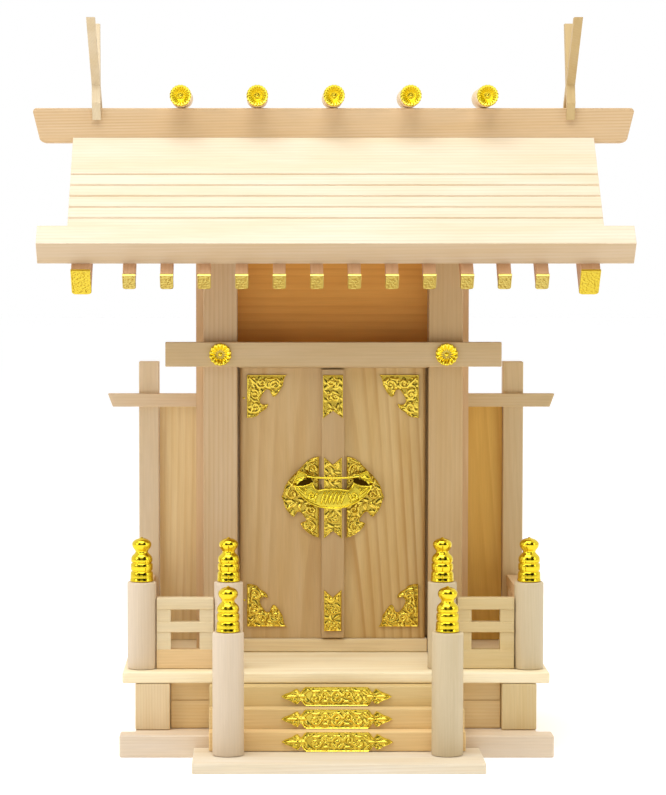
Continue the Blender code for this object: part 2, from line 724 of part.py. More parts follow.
def build_doors():
    leaves = {side: build_leaf(side, sign) for side, sign in (("left", -1), ("right", 1))}
    face = door_front - GAP
    shares_u, shares_v = 0.0258, 0.028
    for side, sign in (("left", -1), ("right", 1)):
        for height, flip in (("upper", 1), ("lower", -1)):
            corners = scaled(corner_plate_corners(), 0.001 * CORNER_PLATE_WIDTH / shares_u,
                             0.001 * CORNER_PLATE_HEIGHT / shares_v)
            if sign > 0:
                corners = mirrored(corners)
            if flip < 0:
                corners = [(u, -v, bend) for u, v, bend in mirrored([(-u, v, b) for u, v, b in corners])]
            outer = leaf_outer - CORNER_PLATE_SIDE_MARGIN
            level = door_top - CORNER_PLATE_TOP_MARGIN
            if flip < 0:
                level = door_bottom + CORNER_PLATE_BOTTOM_MARGIN
            plate = section_along_y("corner_plate_" + height + "_" + side, bent_outline(corners),
                                    (face - PLATE_THICKNESS, face), "gilt",
                                    centre=(sign * outer, level))
            attach(plate, leaves[side])
    lock_level = door_bottom + LOCK_CENTRE_HEIGHT
    for side, sign in (("left", -1), ("right", 1)):
        corners = scaled(lock_half_corners(), 0.001 * LOCK_RADIUS / 0.0333,
                         0.001 * LOCK_HEIGHT / 0.0528)
        if sign < 0:
            corners = mirrored(corners)
        plate = section_along_y("lock_plate_" + side, bent_outline(corners),
                                (face - PLATE_THICKNESS, face), "gilt", centre=(0.0, lock_level))
        attach(plate, leaves[side])
    batten = build_batten(face, lock_level)
    attach(batten, leaves["left"])
    lock = build_shrimp_lock(face, lock_level)
    attach(lock, leaves["left"])


def build_batten(face, lock_level):
    half = BATTEN_WIDTH / 2
    low, high = door_bottom + BATTEN_MARGIN, door_top - BATTEN_MARGIN
    front = face - BATTEN_THICKNESS
    batten = box("door_batten", (-half, half), (front, face), (low, high), "cypress_door")
    strip_top = door_top - CORNER_PLATE_TOP_MARGIN
    strip_low = door_bottom + 0.7 * CORNER_PLATE_BOTTOM_MARGIN
    cut = STRIP_NOTCH
    strips = (
        ("upper", strip_top - BATTEN_STRIP_HEIGHT, strip_top, True, False),
        ("lower", strip_low, strip_low + BATTEN_STRIP_HEIGHT, False, True),
        ("middle", lock_level - LOCK_HEIGHT / 2, lock_level + LOCK_HEIGHT / 2, True, True),
    )
    for label, bottom, top, low_cut, high_cut in strips:
        middle = (bottom + top) / 2
        outline = swallowtail(BATTEN_STRIP_WIDTH, bottom - middle, top - middle, cut, low_cut, high_cut)
        strip = section_along_y("batten_strip_" + label, outline,
                                (front - PLATE_THICKNESS, front + PLATE_THICKNESS), None,
                                centre=(0.0, middle))
        combine(batten, strip, "UNION")
    return batten


def build_shrimp_lock(face, lock_level):
    # Crescent body with a slim bar across the top, standing before the batten on two legs
    body_back = face - BATTEN_THICKNESS - PLATE_THICKNESS - GAP
    body_front = body_back - LOCK_BODY_THICKNESS
    across, up = 0.001 * LOCK_RADIUS / 0.0333, 0.001 * LOCK_HEIGHT / 0.0528
    outer = [
        (0.0, -7.6, 0.06), (14.3, -4.8, 0.05), (25.2, 8.3, 0.25), (22.0, 15.6, 0.0),
        (17.6, 13.4, -0.04), (-17.6, 13.4, 0.0), (-22.0, 15.6, 0.25), (-25.2, 8.3, 0.05),
        (-14.3, -4.8, 0.06),
    ]
    body = section_along_y("shrimp_lock", bent_outline(scaled(outer, across, up)),
                           (body_front, body_back), "gilt", centre=(0.0, lock_level))
    window = [(-11.0, 5.8, -0.10), (11.0, 5.8, 0.0), (15.5, 10.6, 0.0), (13.0, 11.6, 0.0),
              (-13.0, 11.6, 0.0), (-15.5, 10.6, 0.0)]
    opening = section_along_y("shrimp_lock_window", bent_outline(scaled(window, across, up)),
                              (body_front - GAP, body_back + GAP), None, centre=(0.0, lock_level))
    combine(body, opening, "DIFFERENCE")
    leg_back = face - PLATE_THICKNESS - GAP
    for side, sign in (("left", -1), ("right", 1)):
        leg = box("shrimp_lock_leg_" + side, sorted((sign * 18.5 * across, sign * 23.5 * across)),
                  (body_back - LOCK_BODY_THICKNESS / 2, leg_back),
                  (lock_level + 8.5 * up, lock_level + 12.5 * up), None, 0.0)
        combine(body, leg, "UNION")
    return body


# Screens on both sides of the body
def build_wings():
    beam_low = deck_top + WING_BEAM_LEVEL
    beam_high = beam_low + WING_BEAM_HEIGHT
    half_post = WING_POST_SECTION / 2
    start = side_wall_outer + GAP
    for side, sign in (("left", -1), ("right", 1)):
        post = box("wing_frame_" + side,
                   (sign * wing_post_x - half_post, sign * wing_post_x + half_post),
                   (wing_post_front, wing_post_front + WING_POST_SECTION),
                   (floor_level, deck_top + WING_POST_HEIGHT), "cypress_frame")
        tip = WING_BEAM_SPAN / 2
        outline = [(start, beam_low), (tip - WING_BEAM_RAKE, beam_low),
                   (tip, beam_high), (start, beam_high)]
        if sign < 0:
            outline = [(-u, v) for u, v in reversed(outline)]
        beam = section_along_y("wing_beam_" + side, outline,
                               (wing_beam_front, wing_beam_front + WING_BEAM_DEPTH), None)
        combine(post, beam, "UNION")
        panel_edges = sorted((sign * start, sign * (wing_post_x - half_post - GAP)))
        panel_front = wing_post_front + (WING_POST_SECTION - WING_PANEL_THICKNESS) / 2
        box("wing_panel_" + side, panel_edges, (panel_front, panel_front + WING_PANEL_THICKNESS),
            (floor_level, beam_low - GAP), "cypress_panel", 0.0)


# Roof boards with ears, grooves and rafters
def slope_point(along, drop=0.0):
    # Depth and level on the front slope: distance up from the eave's upper edge,
    # and distance below the upper face
    eave_depth = ridge_front - ROOF_RUN
    eave_level = roof_joint - ROOF_RUN * math.tan(ROOF_PITCH)
    cosine, sine = math.cos(ROOF_PITCH), math.sin(ROOF_PITCH)
    return (eave_depth + along * cosine + drop * sine, eave_level + along * sine - drop * cosine)


def roof_section():
    # Eave, grooves up the slope, the step under the ridge beam, and the lower face
    section = [slope_point(0.0)]
    if GROOVE_COUNT:
        for index in range(GROOVE_COUNT):
            start = GROOVE_START + index * GROOVE_PITCH
            section.append(slope_point(start - GROOVE_WIDTH / 2))
            section.append(slope_point(start, GROOVE_DEPTH))
            section.append(slope_point(start + GROOVE_WIDTH / 2))
    front = ridge_front - GAP
    joint = roof_joint - GAP * math.tan(ROOF_PITCH)
    middle = ridge_middle - GAP / 2
    section.append((front, joint))
    section.append((front, ridge_bottom - GAP))
    section.append((middle, ridge_bottom - GAP))
    section.append((middle, roof_underside(middle)))
    section.append(slope_point(0.0, ROOF_THICKNESS))
    section.reverse()
    return section


def mirrored_depths(outline):
    # The same section on the back slope
    return [(2 * ridge_middle - depth, level) for depth, level in reversed(outline)]


def rafter_section(thickness, reach, length):
    # A bar under the slope, its upper face a little inside the board above it
    top = ROOF_THICKNESS - GAP
    return [slope_point(-reach, top), slope_point(-reach, ROOF_THICKNESS + thickness),
            slope_point(length, ROOF_THICKNESS + thickness), slope_point(length, top)]


def gable_section():
    # The deeper rafter at a gable runs up to the middle of the ridge
    middle = ridge_middle - 2 * GAP
    top = ROOF_THICKNESS - GAP
    drop = GABLE_RAFTER_THICKNESS / math.cos(ROOF_PITCH)
    lift = GAP / math.cos(ROOF_PITCH)
    return [slope_point(-GABLE_RAFTER_REACH, top),
            slope_point(-GABLE_RAFTER_REACH, ROOF_THICKNESS + GABLE_RAFTER_THICKNESS),
            (middle, roof_underside(middle) - drop), (middle, roof_underside(middle) + lift)]


def build_roof():
    half, ear = ROOF_WIDTH / 2, EAVE_WIDTH / 2
    slope_length = ROOF_RUN / math.cos(ROOF_PITCH)
    above_ear = [slope_point(EAVE_STRIP, 2 * ROOF_THICKNESS), slope_point(2 * slope_length, 2 * ROOF_THICKNESS),
                 slope_point(2 * slope_length, -ROOF_THICKNESS), slope_point(EAVE_STRIP, -ROOF_THICKNESS)]
    gable_outer = GABLE_RAFTER_SPAN / 2
    gable_inner = gable_outer - GABLE_RAFTER_WIDTH
    for face in ("front", "back"):
        def on_slope(outline):
            return outline if face == "front" else mirrored_depths(outline)
        board = section_along_x("roof_" + face, on_slope(roof_section()), (-ear, ear), "cypress_roof")
        for side, sign in (("left", -1), ("right", 1)):
            cut = section_along_x("above_ear_" + face + "_" + side, on_slope(above_ear),
                                  sorted((sign * half, sign * (ear + 0.01))), None)
            combine(board, cut, "DIFFERENCE")
        if face == "back":
            continue
        for side, sign in (("left", -1), ("right", 1)):
            piece = section_along_x("gable_rafter_" + side, gable_section(),
                                    sorted((sign * gable_inner, sign * gable_outer)), None)
            combine(board, piece, "UNION")
        section = rafter_section(RAFTER_THICKNESS, RAFTER_REACH, RAFTER_LENGTH)
        for index in range(RAFTER_COUNT):
            middle = (index - (RAFTER_COUNT - 1) / 2) * RAFTER_PITCH
            rafter = section_along_x("rafter_" + str(index + 1), section,
                                     (middle - RAFTER_WIDTH / 2, middle + RAFTER_WIDTH / 2), None)
            combine(board, rafter, "UNION")


def build_ridge():
    half = RIDGE_LENGTH / 2
    low_half = half - RIDGE_RAKE
    cut, rake = RIDGE_CORNER, RIDGE_CORNER * RIDGE_RAKE / RIDGE_HEIGHT
    right = [(low_half - cut, ridge_bottom, 0.25), (low_half + rake, ridge_bottom + cut, 0.0),
             (half - rake, ridge_top - cut, 0.25), (half - cut, ridge_top, 0.0)]
    section_along_y("ridge_beam", bent_outline(right + mirrored(right), 2), (ridge_front, ridge_back),
                    "cypress_frame", SOFTENED_EDGE)
    radius = LOG_DIAMETER / 2
    disc = rosette_profile(LOG_DIAMETER, 0.0024, 0.0)
    front = [(r, z + LOG_LENGTH / 2 - 0.0024) for r, z in disc[:-2]]
    profile = front + [(radius, -LOG_LENGTH / 2), (0.0, -LOG_LENGTH / 2)]
    mesh = turned_mesh("ridge_log", profile, 24, 12, 0.0010, (0.4 * radius, 0.99 * radius, 0.0))
    for index in range(LOG_COUNT):
        x = (index - (LOG_COUNT - 1) / 2) * LOG_SPACING
        place("ridge_log_" + str(index + 1), mesh, "cypress_round",
              (x, world_y(ridge_middle), ridge_top + GAP + radius), (math.pi / 2, 0.0, 0.0))


def build_crosses():
    # Two boards halved over each other: feet before and behind the ridge, tips in the air
    slope = math.tan(CROSS_PITCH)
    rise = CROSS_BOARD_WIDTH / (2 * math.cos(CROSS_PITCH))
    middle, tip = ridge_top + CROSS_MEETING, ridge_top + CROSS_HEIGHT
    foot = RIDGE_THICKNESS / 2 + CROSS_FOOT
    rising = [(-foot, middle - foot * slope - rise), ((tip - middle + rise) / slope, tip),
              ((tip - middle - rise) / slope, tip), (-foot, middle - foot * slope + rise)]
    falling = [(-offset, level) for offset, level in reversed(rising)]
    for side, sign in (("left", -1), ("right", 1)):
        centre = sign * (RIDGE_LENGTH / 2 - CROSS_INSET)
        xs = (centre - CROSS_THICKNESS / 2, centre + CROSS_THICKNESS / 2)
        cross = section_along_x("gable_cross_" + side,
                                [(ridge_middle + offset, level) for offset, level in rising],
                                xs, "cypress_roof")
        other = section_along_x("gable_cross_other_" + side,
                                [(ridge_middle + offset, level) for offset, level in falling],
                                xs, None)
        # The boards' meshes lie flat: their own Y stands up and their own Z runs outwards
        lean = Matrix.Identity(4)
        lean[2][1] = sign * math.tan(CROSS_LEAN)
        for board in (cross, other):
            base = board.location.z
            board.data.transform(lean)
            board.location.x += sign * math.tan(CROSS_LEAN) * (base - ridge_top)
        seat = box("gable_cross_seat_" + side, (xs[0] - CROSS_THICKNESS, xs[1] + CROSS_THICKNESS),
                   (ridge_front - GAP, ridge_back + GAP),
                   (ridge_bottom, ridge_top + GAP), None, 0.0)
        combine(cross, other, "UNION")
        combine(cross, seat, "DIFFERENCE")


build_base()
build_stair()
build_posts()
build_railings()
build_body()
build_doors()
build_wings()
build_roof()
build_ridge()
build_crosses()
bpy.context.view_layer.update()
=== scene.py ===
import math

import bmesh
import bpy
import numpy as np
from mathutils import Matrix, Vector, geometry


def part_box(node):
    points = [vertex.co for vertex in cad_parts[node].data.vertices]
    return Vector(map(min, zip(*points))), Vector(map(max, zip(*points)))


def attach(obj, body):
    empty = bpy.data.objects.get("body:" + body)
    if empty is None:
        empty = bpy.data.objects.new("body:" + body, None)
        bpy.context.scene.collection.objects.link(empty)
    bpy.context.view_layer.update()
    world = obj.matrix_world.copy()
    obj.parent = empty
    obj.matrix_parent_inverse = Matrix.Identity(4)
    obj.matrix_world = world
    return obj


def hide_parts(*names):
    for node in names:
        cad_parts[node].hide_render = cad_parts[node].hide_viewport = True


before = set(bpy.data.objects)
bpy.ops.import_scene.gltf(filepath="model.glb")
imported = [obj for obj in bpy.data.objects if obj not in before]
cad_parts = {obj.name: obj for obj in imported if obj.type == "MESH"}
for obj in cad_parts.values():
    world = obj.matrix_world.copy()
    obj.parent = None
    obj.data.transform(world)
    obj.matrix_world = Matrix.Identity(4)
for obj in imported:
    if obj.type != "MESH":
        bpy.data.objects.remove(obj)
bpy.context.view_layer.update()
mm = 0.001
scene = bpy.context.scene
print("frame loaded:", len(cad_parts), "nodes")


# small tools

def linear(r, g, b):
    # a screen colour 0..255 as Blender's linear colour
    out = []
    for c in (r, g, b):
        c = c / 255
        out.append(c / 12.92 if c <= 0.04045 else ((c + 0.055) / 1.055) ** 2.4)
    return (*out, 1.0)


def addNode(tree, kind, inputs=None, **settings):
    made = tree.nodes.new(kind)
    for key, value in settings.items():
        setattr(made, key, value)
    for key, value in (inputs or {}).items():
        if isinstance(value, bpy.types.NodeSocket):
            tree.links.new(value, made.inputs[key])
        else:
            made.inputs[key].default_value = value
    return made


def grey(v):
    return (v, v, v, 1.0)


def ramp(tree, fac, *stops):
    # stops of (position, grey level)
    made = addNode(tree, "ShaderNodeValToRGB", {"Fac": fac})
    elements = made.color_ramp.elements
    elements[0].position, elements[0].color = stops[0][0], grey(stops[0][1])
    elements[1].position, elements[1].color = stops[-1][0], grey(stops[-1][1])
    for position, level in stops[1:-1]:
        elements.new(position).color = grey(level)
    return made.outputs["Color"]


def mix(tree, factor, a, b, **settings):
    inputs = {"Factor": factor, "A": a, "B": b}
    return addNode(tree, "ShaderNodeMix", inputs, data_type="RGBA", **settings).outputs["Result"]


def times(tree, a, b):
    return addNode(tree, "ShaderNodeMath", {0: a, 1: b}, operation="MULTIPLY").outputs[0]


def plusTimes(tree, a, b, c):
    # a times b, plus c
    return addNode(tree, "ShaderNodeMath", {0: a, 1: b, 2: c}, operation="MULTIPLY_ADD").outputs[0]


def noise(tree, vector, scale, detail, **more):
    inputs = {"Vector": vector, "Scale": scale, "Detail": detail, **more}
    return addNode(tree, "ShaderNodeTexNoise", inputs).outputs["Fac"]


def mapped(tree, value, source, result):
    keys = ("From Min", "From Max", "To Min", "To Max")
    inputs = {"Value": value, **dict(zip(keys, (*source, *result)))}
    return addNode(tree, "ShaderNodeMapRange", inputs).outputs[0]


def finish(name):
    made = bpy.data.materials.new(name)
    made.use_nodes = True
    return made, made.node_tree, made.node_tree.nodes["Principled BSDF"]


def wire(tree, shader, sockets, height, strength, distance):
    # the colours and values that drive the shader, and its bump
    bump = addNode(tree, "ShaderNodeBump", {"Height": height, "Strength": strength, "Distance": distance})
    for key, value in {**sockets, "Normal": bump.outputs["Normal"]}.items():
        tree.links.new(value, shader.inputs[key])


def box(node):
    low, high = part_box(node)
    return [(low[i], high[i]) for i in range(3)]


# cypress: growth rings cut by the board's faces, fine fibres along the grain, broad bands of tone

woodLook = {
    "ringSpacing": 1.7,      # mm between late-wood lines
    "ringStrength": 0.42,
    "broadStrength": 0.8,
    "fibreStrength": 0.055,
    "heart": (0, 90, 40),    # mm from the board's axis to the tree's heart: grain way, then across
    "tilt": 1.2,             # degrees between board and trunk: makes the long arches
    "wobble": 2.2,
    "contrast": 1.0,         # how far bands and lines stand off the board's tone
    "roughness": 0.56,
    "bump": 0.03,
}


def cypress(name, grain, tone, seed=0, **changes):
    # tone is the board's screen colour; early wood, warmer bands and late-wood lines follow from it
    look = {**woodLook, **changes}
    shares = ((0.015, 0.02, 0.035), (-0.015, -0.035, -0.08), (-0.07, -0.125, -0.21))
    pale, warm, line = (linear(*[min(255, c * (1 + k * look["contrast"])) for c, k in zip(tone, share)])
                        for share in shares)
    made, tree, shader = finish(name)
    axes = {"x": (1, 0, 0), "y": (0, 1, 0), "z": (0, 0, 1)}
    way = Vector(axes[grain] if isinstance(grain, str) else grain).normalized()
    turn = way.rotation_difference(Vector((1, 0, 0))).to_matrix()
    tilt = Matrix.Rotation(math.radians(look["tilt"]), 3, "Z")
    tilt = tilt @ Matrix.Rotation(math.radians(look["tilt"] * 0.6), 3, "Y")
    heart = look["heart"]
    across = addNode(tree, "ShaderNodeMapping", {
        "Vector": addNode(tree, "ShaderNodeTexCoord").outputs["Object"], "Rotation": (tilt @ turn).to_euler(),
        "Location": (heart[0] * mm + seed * 0.37, heart[1] * mm, heart[2] * mm)}).outputs[0]
    drawn, spun = (addNode(tree, "ShaderNodeMapping", {"Vector": across, "Scale": (along, 1, 1)}).outputs[0]
                   for along in (0.10, 0.02))
    rings = addNode(tree, "ShaderNodeTexWave", {
        "Vector": drawn, "Scale": 0.314 / (look["ringSpacing"] * mm), "Distortion": look["wobble"],
        "Detail": 2.0, "Detail Scale": 0.35, "Phase Offset": seed * 1.7},
        wave_type="RINGS", rings_direction="X", wave_profile="SAW").outputs["Fac"]
    late = ramp(tree, rings, (0.0, 0.10), (0.08, 0), (0.5, 0.12), (0.86, 1), (1.0, 0.7))
    broad = ramp(tree, noise(tree, drawn, 95.0, 3.0, Roughness=0.55), (0.34, 0), (0.66, 1))
    fibre = noise(tree, spun, 1500.0, 4.0, Roughness=0.6)
    ground = mix(tree, times(tree, broad, look["broadStrength"]), pale, warm)
    fade = ramp(tree, noise(tree, drawn, 55.0, 2.0), (0.30, 0.15), (0.62, 1))
    lined = mix(tree, times(tree, times(tree, late, fade), look["ringStrength"]), ground, line)
    strength = look["fibreStrength"]
    shade = mapped(tree, fibre, (0.3, 0.7), (1 - strength, 1 + strength * 0.5))
    toned = addNode(tree, "ShaderNodeVectorMath", {0: lined, "Scale": shade}, operation="SCALE").outputs[0]
    matt = mapped(tree, fibre, (0.3, 0.7), (look["roughness"] + 0.08, look["roughness"] - 0.06))
    height = plusTimes(tree, late, -0.5, fibre)
    wire(tree, shader, {"Base Color": toned, "Roughness": matt}, height, look["bump"], 0.0004)
    shader.inputs["Specular IOR Level"].default_value = 0.35
    return made


# gilt: bright plated brass; stamped work keeps its darker ground in the "relief" attribute

giltLook = {
    "bright": linear(248, 232, 92),
    "second": linear(238, 214, 52),
    "deep": linear(126, 92, 16),
    "finial": linear(232, 204, 48),
    "plate": linear(226, 198, 78),
    "strip": linear(238, 216, 84),
    "satin": linear(204, 184, 100),
    "satinWide": linear(218, 194, 66),
    # painted shadow: the dark gilt of the sheets under the lock's ear tabs
    "shade": linear(58, 38, 4),
    "matt": 0.30,
}


def gilt(name, stamped, roughness, tone=None):
    made, tree, shader = finish(name)
    shader.inputs["Metallic"].default_value = 1.0
    place = addNode(tree, "ShaderNodeTexCoord").outputs["Object"]
    cloud = noise(tree, place, 260.0, 3.0)
    height = noise(tree, place, 2600.0, 2.0)
    colour = mix(tree, cloud, tone or giltLook["bright"], tone or giltLook["second"])
    dull = mapped(tree, cloud, (0.3, 0.7), (roughness, roughness + 0.06))
    if stamped:
        relief = addNode(tree, "ShaderNodeAttribute", attribute_name="relief").outputs["Fac"]
        proud = ramp(tree, relief, (0.0, 0.6), (0.04, 0.35), (0.11, 0), (0.26, 1))
        colour = mix(tree, proud, giltLook["deep"], colour)
        dull = mapped(tree, proud, (0.0, 1.0), (giltLook["matt"], roughness))
        dots = addNode(tree, "ShaderNodeTexVoronoi", {"Vector": place, "Scale": 1500.0}).outputs["Distance"]
        height = plusTimes(tree, dots, 0.6, height)
    wire(tree, shader, {"Base Color": colour, "Roughness": dull}, height, 0.12 if stamped else 0.05, 0.0003)
    return made


# meshes

def register(piece, material, body="shrine", node=None, smooth=False):
    piece.data.materials.clear()
    piece.data.materials.append(material)
    if smooth:
        piece.data.shade_smooth()
        piece.data.set_sharp_from_angle(angle=math.radians(42))
    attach(piece, body)
    if node:
        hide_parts(node)
    return piece


def placed(name, data):
    made = bpy.data.objects.new(name, data)
    scene.collection.objects.link(made)
    return made


def fromArrays(name, points, faces):
    mesh = bpy.data.meshes.new(name)
    mesh.from_pydata([tuple(p) for p in points], [], faces)
    mesh.validate()
    return placed(name, mesh)


def eased(piece, width, segments):
    edge = piece.modifiers.new("easedEdges", "BEVEL")
    edge.width = width * mm
    edge.segments = segments
    edge.limit_method = "ANGLE"
    edge.angle_limit = math.radians(35)
    return piece


def prism(name, outline, span, way, width, segments=2):
    # outline in the two axes left over, in order, pushed along the named axis
    shape = bmesh.new()
    spots = []
    for a, b in outline:
        spots.append({"x": (span[0], a, b), "y": (a, span[0], b), "z": (a, b, span[0])}[way])
    face = shape.faces.new([shape.verts.new(p) for p in spots])
    pushed = bmesh.ops.extrude_face_region(shape, geom=[face])
    moved = [v for v in pushed["geom"] if isinstance(v, bmesh.types.BMVert)]
    step = {"x": (1, 0, 0), "y": (0, 1, 0), "z": (0, 0, 1)}[way]
    bmesh.ops.translate(shape, verts=moved, vec=Vector(step) * (span[1] - span[0]))
    bmesh.ops.recalc_face_normals(shape, faces=shape.faces)
    mesh = bpy.data.meshes.new(name)
    shape.to_mesh(mesh)
    shape.free()
    return eased(placed(name, mesh), width, segments)


def board(name, xs, ys, zs, width):
    return prism(name, [(xs[0], ys[0]), (xs[1], ys[0]), (xs[1], ys[1]), (xs[0], ys[1])], zs, "z", width)


def turned(name, profile, centre, steps=64, way="z", flutes=0, fluteDepth=0.0, fluteZone=(0, 1), scallop=0.0):
    # profile of (radius, height) in mm from top to bottom; flutes sink every other spoke between two radii
    radii = np.array([p[0] for p in profile])
    heights = np.array([p[1] for p in profile])
    angle = np.linspace(0, 2 * math.pi, steps, endpoint=False)
    points, faces, rings = [], [], []
    for r, z in zip(radii, heights):
        if r < 1e-6:
            rings.append([len(points)])
            points.append((0.0, 0.0, z))
            continue
        drop = np.zeros(steps)
        spread = np.ones(steps)
        if flutes and fluteZone[0] <= r <= fluteZone[1] and z > -1.5:
            wave = np.abs(np.sin(flutes * angle / 2))
            share = (r - fluteZone[0]) / max(fluteZone[1] - fluteZone[0], 1e-6)
            drop = fluteDepth * (1 - wave) * math.sin(math.pi * min(1.0, 0.25 + 0.6 * share))
            spread = 1 - scallop * (1 - wave) * share ** 4
        ring = []
        for a, d, s in zip(angle, drop, spread):
            ring.append(len(points))
            points.append((r * s * math.cos(a), r * s * math.sin(a), z - d))
        rings.append(ring)
    for upper, lower in zip(rings, rings[1:]):
        for i in range(steps):
            j = (i + 1) % steps
            if len(upper) == 1 and len(lower) == 1:
                continue
            if len(upper) == 1:
                faces.append((upper[0], lower[i], lower[j]))
            elif len(lower) == 1:
                faces.append((upper[i], lower[0], upper[j]))
            else:
                faces.append((upper[i], lower[i], lower[j], upper[j]))
    points = np.array(points) * mm
    if way == "front":       # the profile's height runs towards the viewer, along -Y
        points = np.stack([points[:, 0], -points[:, 2], points[:, 1]], axis=1)
    points += np.array(centre)
    return fromArrays(name, points, faces)


# stamped relief: a fine sheet inside an outline, raised by scrolls, leaves and a rim

def scroll(cx, cy, start, end, angle, turns, thick, thin, count=46):
    t = np.linspace(0, 1, count)
    r = start + (end - start) * t ** 0.8
    a = math.radians(angle) + 2 * math.pi * turns * t
    return np.stack([cx + r * np.cos(a), cy + r * np.sin(a), thick + (thin - thick) * t], axis=1)


def leaf(x0, y0, x1, y1, bend, width, count=20):
    t = np.linspace(0, 1, count)
    nx, ny = -(y1 - y0), (x1 - x0)
    side = bend * 4 * t * (1 - t)
    fat = width * np.sin(math.pi * np.clip(t * 0.92 + 0.06, 0, 1)) ** 0.7
    return np.stack([x0 + (x1 - x0) * t + nx * side, y0 + (y1 - y0) * t + ny * side, fat], axis=1)


def bead(x, y, r):
    return np.array([[x, y, r]])


def foliage(outline, seed, spacing=3.9, size=1.9):
    # small curled leaves that fill the ground between the main scrolls
    chance = np.random.default_rng(seed)
    us, vs = [p[0] for p in outline], [p[1] for p in outline]
    strokes = []
    for v in np.arange(min(vs) + 0.8, max(vs) - 0.4, spacing):
        for u in np.arange(min(us) + 0.8, max(us) - 0.4, spacing):
            a = chance.uniform(0, 2 * math.pi)
            r = size * chance.uniform(0.9, 1.5)
            cu, cv = u + chance.uniform(-0.5, 0.5), v + chance.uniform(-0.5, 0.5)
            du, dv = r * math.cos(a), r * math.sin(a)
            strokes.append(leaf(cu - du, cv - dv, cu + du, cv + dv,
                                chance.uniform(-0.3, 0.3), size * chance.uniform(0.45, 0.75), 8))
    return strokes


def raised(points, strokes):
    # half-round section along every stroke, the highest one wins
    best = np.zeros(len(points))
    for stroke in strokes:
        x, y, r = stroke.T
        d = np.hypot(points[:, 0, None] - x, points[:, 1, None] - y)
        h = np.sqrt(np.clip(1 - (d / r) ** 2, 0, 1)) * np.minimum(1.0, r / 0.9 + 0.25)
        best = np.maximum(best, h.max(axis=1))
    return best


def denser(outline, cell):
    out = []
    for (a, b), (c, d) in zip(outline, outline[1:] + outline[:1]):
        count = max(1, int(round(math.hypot(c - a, d - b) / cell)))
        out += [(a + (c - a) * k / count, b + (d - b) * k / count) for k in range(count)]
    return out


def insideOf(points, outline):
    x, y = points[:, 0], points[:, 1]
    inside = np.zeros(len(points), bool)
    for (x0, y0), (x1, y1) in zip(outline, outline[1:] + outline[:1]):
        if y0 == y1:
            continue
        crosses = ((y0 > y) != (y1 > y)) & (x < (x1 - x0) * (y - y0) / (y1 - y0) + x0)
        inside ^= crosses
    return inside


def awayFrom(points, outline):
    # distance to the outline, edge by edge
    best = np.full(len(points), 1e9)
    for (x0, y0), (x1, y1) in zip(outline, outline[1:] + outline[:1]):
        dx, dy = x1 - x0, y1 - y0
        long = max(dx * dx + dy * dy, 1e-12)
        t = np.clip(((points[:, 0] - x0) * dx + (points[:, 1] - y0) * dy) / long, 0, 1)
        best = np.minimum(best, np.hypot(points[:, 0] - x0 - t * dx, points[:, 1] - y0 - t * dy))
    return best


def mirrored(points):
    return [(-u, v) for u, v in reversed(points)]


def stamped(name, outline, strokes, toWorld, depth, back, cell, rim, rimHeight=0.8, crown=0.0, fill=0.45):
    # outline and strokes in mm on the sheet; toWorld turns (u, v, height) into a point in mm
    dense = denser(outline, cell)
    lowU, highU = min(p[0] for p in dense), max(p[0] for p in dense)
    wide = highU - lowU
    lowV, highV = min(p[1] for p in dense), max(p[1] for p in dense)
    gu, gv = np.meshgrid(np.arange(lowU + cell / 2, highU, cell), np.arange(lowV + cell / 2, highV, cell))
    inner = np.stack([gu.ravel(), gv.ravel()], axis=1)
    inner = inner[insideOf(inner, dense)]
    inner = inner[awayFrom(inner, outline) > cell * 0.45]
    flat = np.array(dense)
    spots = [Vector(p) for p in np.concatenate([flat, inner])]
    edges = [(i, (i + 1) % len(dense)) for i in range(len(dense))]
    sheet, _, faces, _, _, _ = geometry.delaunay_2d_cdt(spots, edges, [list(range(len(dense)))], 1, 1e-5)
    uv = np.array([(p.x, p.y) for p in sheet])
    gone = awayFrom(uv, outline)
    relief = raised(uv, strokes)
    if fill:
        relief = np.maximum(relief, fill * raised(uv, foliage(outline, len(outline) + int(wide * 7))))
    relief *= np.clip(gone / 0.35, 0, 1)
    edge = np.where(gone < rim, np.sqrt(np.clip(1 - ((gone - rim / 2) / (rim / 2)) ** 2, 0, 1)), 0) * rimHeight
    relief = np.maximum(relief, edge)
    height = depth * (0.45 + 0.55 * relief + crown * np.clip(gone / 3, 0, 1))
    height = np.where(gone < 1e-3, depth * 0.40, height)
    points = [toWorld(u, v, h) for (u, v), h in zip(uv, height)]
    allFaces = [tuple(f) for f in faces]
    ways = [(a, b) for f in allFaces for a, b in zip(f, f[1:] + f[:1])]
    shared = set(ways)
    follow, lower = {}, {}      # the sheet's open edge, and its points carried down to the back
    for a, b in ways:
        if (b, a) in shared:
            continue
        for i in (a, b):
            if i not in lower:
                lower[i] = len(points)
                points.append(toWorld(uv[i][0], uv[i][1], back))
        allFaces.append((b, a, lower[a], lower[b]))
        follow[a] = b
    start = next(iter(follow))
    loop, here = [start], follow[start]
    while here != start and len(loop) <= len(follow):
        loop.append(here)
        here = follow[here]
    allFaces.append(tuple(lower[i] for i in reversed(loop)))
    piece = fromArrays(name, np.array(points) * mm, allFaces)
    tone = piece.data.attributes.new("relief", "FLOAT", "POINT")
    values = np.full(len(piece.data.vertices), 0.6, np.float32)
    values[:len(relief)] = np.where(gone < 1e-3, 0.45, relief).astype(np.float32)
    tone.data.foreach_set("value", values)
    shape = bmesh.new()
    shape.from_mesh(piece.data)
    bmesh.ops.recalc_face_normals(shape, faces=shape.faces)
    shape.to_mesh(piece.data)
    shape.free()
    return piece


def onFront(x, y, z):
    # a sheet that faces -Y: u to the right, v up, height towards the viewer; x, y, z in mm
    return lambda u, v, h: (x + u, y - h, z + v)


# finishes

